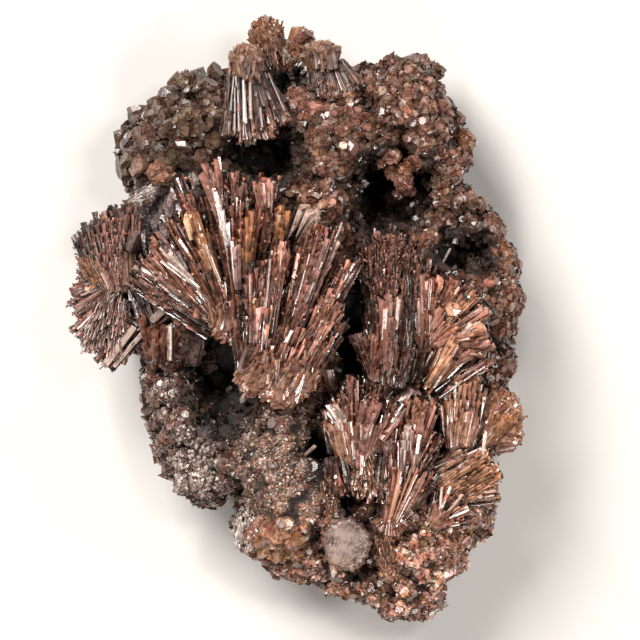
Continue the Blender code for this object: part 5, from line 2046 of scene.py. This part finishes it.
CRUSTS = (
    Crust("beads_upper_left", (Spot(-16.5, 25.5, 1, 7.5, 6.5), Spot(-20.5, 20.5, 0.7, 3, 3)),
          Habit.BARREL, 1500, (0.9, 2.8), BEAD_MIX, 0.75, 0.22, 0.45, 0.78,
          shade=0.68, foot_shade=0.08, seed=41),
    Crust("small_beads_upper_left", (Spot(-16.5, 25.0, 1, 8, 7.5), Spot(-20, 19, 0.7, 4, 4)),
          Habit.COLUMN, 1150, (0.4, 1.0), BEAD_MIX, 0.9, 0.4, shade=0.68, foot_shade=0.1, seed=42),
    Crust("beads_top", (Spot(2.5, 26.5, 1, 4.5, 5.5), Spot(4.5, 19, 0.7, 4, 7)),
          Habit.BARREL, 700, (0.8, 2.0), FROTH_MIX, 0.9, 0.4, 0.4, 0.6, shade=1.25, seed=43),
    Crust("ridge_crust",
          (Spot(4.2, 18.5, 1, 4.6, 8.5), Spot(2.5, 27, 0.8, 5, 6), Spot(-5, 15.5, 0.6, 6, 3)),
          Habit.CHIP, 3800, (0.28, 1.25), FROTH_MIX, 1.7, 0.8, 0.6, shade=1.25, seed=44),
    Crust("beads_upper_right",
          (Spot(14, 27.5, 1, 9, 7), Spot(20, 21, 1, 5, 7), Spot(25, 9, 1, 5, 9)),
          Habit.BARREL, 1700, (0.6, 1.7), FROTH_MIX, 0.8, 0.35, 0.45, 0.62, shade=1.3, seed=53),
    Crust("crust_upper_right", (Spot(14, 28, 1, 8.5, 6.5), Spot(19.5, 22, 1, 4.5, 6.5)),
          Habit.CHIP, 3800, (0.3, 1.1), FROTH_MIX, 1.5, 0.75, 0.62, shade=1.3, seed=45),
    Crust("crust_right_flank",
          (Spot(21.5, 14.5, 1, 5.5, 5.5), Spot(26, 6, 1, 3.5, 7.5), Spot(26.8, -3, 0.8, 2.5, 7)),
          Habit.CHIP, 3400, (0.3, 1.15), FROTH_MIX, 1.5, 0.75, 0.62, shade=1.25, seed=46),
    Crust("druse", (Spot(-1.5, -19.5, 1, 8.0, 9.5),),
          Habit.GRAIN, 8000, (0.22, 0.6), DRUSE_MIX, 1.1, 0.8, shade=1.55, even=True, seed=47),
    Crust("frosted_crust", (Spot(-14.5, -14.5, 1, 6.5, 10),),
          Habit.CHIP, 4400, (0.26, 0.75), FROST_MIX, 1.2, 0.8, 0.6, shade=1.0, seed=48),
    Crust("bottom_crust",
          (Spot(8.5, -34, 1, 13, 4.5), Spot(18, -31.5, 1, 5.5, 6.5), Spot(3, -27, 0.6, 5, 5)),
          Habit.CHIP, 5200, (0.28, 0.95), LOW_MIX, 1.4, 0.75, 0.62, shade=3.2, seed=49),
    Crust("lower_right_crust", (Spot(22, -24, 1, 4.5, 8), Spot(15, -16, 0.7, 9, 9)),
          Habit.CHIP, 4300, (0.28, 1.0), LOW_MIX, 1.4, 0.75, 0.62, shade=3.1, seed=50),
    Crust("left_crust", (Spot(-22.5, 4, 1, 5, 10), Spot(-14, -3, 0.7, 5, 8)),
          Habit.CHIP, 2900, (0.32, 1.2), LEFT_MIX, 1.5, 0.75, 0.62, seed=51),
    Crust("gap_crust", (Spot(2, 0, 1, 14, 12),),
          Habit.CHIP, 1700, (0.4, 1.3), GAP_MIX, 1.6, 0.7, 0.6, lowest=14.0, shade=1.0, seed=54),
    Crust("side_crust", (Spot(0, 0, 1, 200, 200),),
          Habit.CHIP, 4700, (0.45, 1.6), SIDE_MIX, 1.4, 0.6, 0.68,
          lowest=2.0, pit_share=0.6, steep_only=True, seed=52),
    Crust("frost", (Spot(-13.6, -17.6, 1, 2.4, 4.0, -10), Spot(-16.3, -9.5, 0.3, 1.4, 2.3),
                    Spot(-11.2, -21.2, 0.6, 1.8, 1.6), Spot(-6.7, -27.8, 1.2, 1.6, 2.8)),
          Habit.GRAIN, 2400, (0.34, 0.8), FROSTING_MIX, 1.2, 0.7, 0.1,
          shade=0.9, foot_shade=0.7, even=True, seed=57),
    Crust("grey_crust", (Spot(-17.8, 14.2, 1, 3.6, 3.6),),
          Habit.CHIP, 520, (0.35, 1.5), GREY_MIX, 0.7, 0.5, 0.5,
          shade=1.5, foot_shade=0.5, bare_share=1.0, even=True, seed=58),
    Crust("white_patches", (Spot(-19.7, 15.9, 1, 2.9, 1.1, 30), Spot(-13.4, 18.0, 1, 0.7, 1.1, 20)),
          Habit.GRAIN, 560, (0.35, 0.95), WHITE_MIX, 0.8, 0.5, 0.5,
          foot_shade=0.8, bare_share=1.0, even=True, seed=56),
)

CLEAR_CRUST = Crust(
    "clear_crust", (Spot(-6.7, -27.8, 1, 1.8, 2.9),),
    Habit.BARREL, 420, (0.5, 1.2), CLEAR_MIX, 0.8, 0.4, 0.4, 0.6, even=True, seed=55,
)

HONEY_CRUST = Crust(
    "honey_crust", (HONEY,),
    Habit.BARREL, 260, (0.9, 2.4), TAN_MIX, 0.7, 0.25, 0.6, 0.35,
    shade=1.2, foot_shade=0.8, bare_share=1.0, even=True, seed=65,
)

WHITE_STREAK = RockCrystals("white_streak", "pale_crystal", (
    Named((-21.8, 15.1, 0.9), (-18.2, 17.3, 1.7), 1.5, Tint.WHITE, Habit.CHIP, 130, 0.2),
    Named((-13.5, 17.0, 1.3), (-13.4, 19.0, 1.7), 1.0, Tint.WHITE, Habit.CHIP, 50, 0.3),
    Named((-7.0, -30.0, 0.4), (-6.6, -25.2, 1.2), 2.6, Tint.WHITE, Habit.BARREL, 90, 0.2),
), seed=64)

CLEAR_PRISM = RockCrystals("clear_prism", "pale_crystal", (
    Named((-19.5, 8.7, 4.4), (-19.3, 12.6, 5.6), 1.8, Tint.PALE, Habit.TAPERED),
    Named((-18.2, 9.6, 4.0), (-18.0, 12.4, 4.8), 1.2, Tint.PALE, Habit.TAPERED),
), seed=63)

ROCK_CRYSTALS = RockCrystals("single_crystals", "brown_crystal", (
    Named((-17.7, -6.0, 0.0), (-17.7, -0.5, 2.2), 4.2, Tint.BROWN, Habit.COLUMN, 24),
    Named((-13.8, -6.0, 0.0), (-13.8, -0.3, 2.2), 3.8, Tint.VIOLET_GREY, Habit.COLUMN, 24),
    # Painted highlight: a pale prism along the bright bar under the fan.
    Named((-16.4, -5.2, 2.2), (-16.4, -0.7, 3.4), 0.8, Tint.PALE),
    Named((-7.2, -8.6, 1.5), (-6.9, -3.9, 3.5), 1.05, Tint.VIOLET_GREY),
    Named((-7.2, -10.6, 1.5), (-6.2, -9.2, 2.5), 0.8, Tint.PALE),
    Named((-9.2, -9.3, 1.0), (-8.7, -8.9, 2.0), 0.6, Tint.PALE),
    # Painted glint: a small white crystal.
    Named((-7.0, -9.5, 1.4), (-6.6, -9.0, 2.2), 0.5, Tint.WHITE),
    Named((0.1, -18.5, 0.6), (2.5, -16.3, 1.8), 0.55, Tint.PALE),
    Named((4.0, -6.8, 1.0), (4.0, -3.3, 2.4), 1.8, Tint.OLIVE, Habit.BARREL, 16),
    Named((5.2, -10.7, 1.2), (4.2, -6.2, 2.6), 1.7, Tint.ROSY),
    Named((5.9, -0.8, 3.4), (5.9, 3.9, 6.0), 0.7, Tint.WHITE, Habit.COLUMN, 3),
    Named((12.9, -34.8, -0.6), (11.6, -25.5, 1.2), 4.2, Tint.TAN, Habit.CHIP, 240, 0.1),
    Named((18.7, -34.4, -0.8), (20.7, -26.8, 0.8), 3.4, Tint.TAN, Habit.CHIP, 150, 0.12),
    Named((4.3, -26.5, 1.0), (4.3, -20.0, 1.8), 2.3, Tint.TAN, Habit.CHIP, 120, 0.15),
    Named((6.1, 22.4, 0.6), (6.1, 22.6, 2.0), 1.3, Tint.CREAM, Habit.BARREL),
    Named((16.2, 13.0, 0.8), (15.6, 13.4, 1.8), 1.1, Tint.WHITE, Habit.BARREL),
    Named((15.8, 15.2, 0.8), (15.2, 15.2, 1.7), 0.9, Tint.WHITE, Habit.BARREL),
    Named((17.6, 10.2, 0.3), (16.8, 10.6, 2.0), 2.1, Tint.ROSY, Habit.BARREL),
    Named((18.9, 7.1, 2.0), (20.1, 9.3, 3.4), 0.35, Tint.WHITE),
    Named((0.2, 36.0, -1.0), (0.2, 37.2, 0.6), 2.0, Tint.VIOLET_GREY, Habit.BARREL, 7),
    Named((-0.6, 33.8, 0.6), (0.8, 35.6, 2.4), 2.0, Tint.ORANGE, Habit.BARREL, 5),
    # Painted glints: two small white crystals beside the knob.
    Named((-1.4, 36.6, 0.8), (-0.4, 36.2, 1.4), 0.5, Tint.WHITE),
    Named((-0.6, 36.3, 0.9), (0.4, 36.1, 1.5), 0.5, Tint.WHITE),
), seed=61)

ROSETTE_SEED = 62
ROSETTES = (
    Rosette((-14.2, 25.6), 2.1, 26, Tint.OLIVE),
    Rosette((-19.6, 23.6), 1.8, 22, Tint.VIOLET_GREY),
    Rosette((-14.3, 31.0), 1.6, 18, Tint.OLIVE),
    Rosette((-21.6, 23.0), 1.5, 18, Tint.LAVENDER),
    Rosette((-10.5, 27.6), 1.4, 18, Tint.OLIVE),
    Rosette((-17.6, 19.3), 1.9, 20, Tint.TAN),
    Rosette((0.2, 28.6), 2.1, 24, Tint.ROSY),
    Rosette((0.8, 25.2), 1.2, 14, Tint.ROSY),
    Rosette((3.6, 24.2), 1.2, 14, Tint.VIOLET_GREY),
    Rosette((4.4, 14.6), 1.4, 16, Tint.ROSY),
    Rosette((13.9, 18.2), 1.5, 26, Tint.ROSY, 19.4),
    Rosette((14.2, 19.6), 1.0, 16, Tint.ORANGE, 20.2),
    Rosette((12.6, 19.2), 1.1, 16, Tint.BROWN, 18.8),
    Rosette((15.2, 20.4), 1.2, 16, Tint.BROWN, 19.6),
    Rosette((12.4, 21.4), 1.3, 18, Tint.ROSY, 19.8),
    Rosette((11.2, 20.4), 0.8, 12, Tint.BROWN, 18.4),
    Rosette((13.2, 16.4), 0.8, 12, Tint.DARK_RED, 17.6),
    Rosette((14.8, 16.8), 0.9, 12, Tint.BROWN, 18.4),
    Rosette((17.0, 20.4), 1.5, 16, Tint.TAN),
    Rosette((17.4, 10.8), 1.3, 14, Tint.TAN),
    Rosette((18.0, 32.6), 1.5, 16, Tint.OLIVE),
    Rosette((22.0, 23.4), 1.5, 16, Tint.ORANGE),
    Rosette((27.0, 9.0), 1.4, 14, Tint.ORANGE),
    Rosette((4.6, -5.0), 1.3, 18, Tint.OLIVE),
)


def build_rosettes(surface: Surface, material: Material) -> None:
    """Make all the rosettes, as one piece."""
    chance = np.random.default_rng(ROSETTE_SEED)
    stock = MeshStock()
    for rosette in ROSETTES:
        rosette.grow(stock, surface, chance)
    stock.make("rosettes", material, ("matrix",))


def main() -> None:
    """Build the specimen and its studio, piece by piece."""
    logging.basicConfig(level=logging.INFO, format="%(name)s %(message)s")
    surface = BareRock().build()
    grain = GrainFinish("crust").material()
    for crust in CRUSTS:
        crust.build(surface, grain)
    crystal = CrystalFinish("crystal").material()
    dull = CrystalFinish("dull_crystal", roughness=0.32).material()
    clear = ClearFinish("clear_crystal").material()
    CLEAR_CRUST.build(surface, clear)
    HONEY_CRUST.build(surface, crystal)
    build_rosettes(surface, grain)
    ROCK_CRYSTALS.build(surface, crystal)
    CLEAR_PRISM.build(surface, clear)
    WHITE_STREAK.build(surface, GrainFinish("white_sugar", pale=0.5).material())
    shared = random.Random(SHEAF_SEED)
    for sheaf in SHEAVES:
        sheaf.build(shared, dull if sheaf.dull else crystal)
    PalePlate().build(GrainFinish("pale_sugar", speck_size=0.12).material())
    Studio().build()


if __name__ == "__main__":
    main()
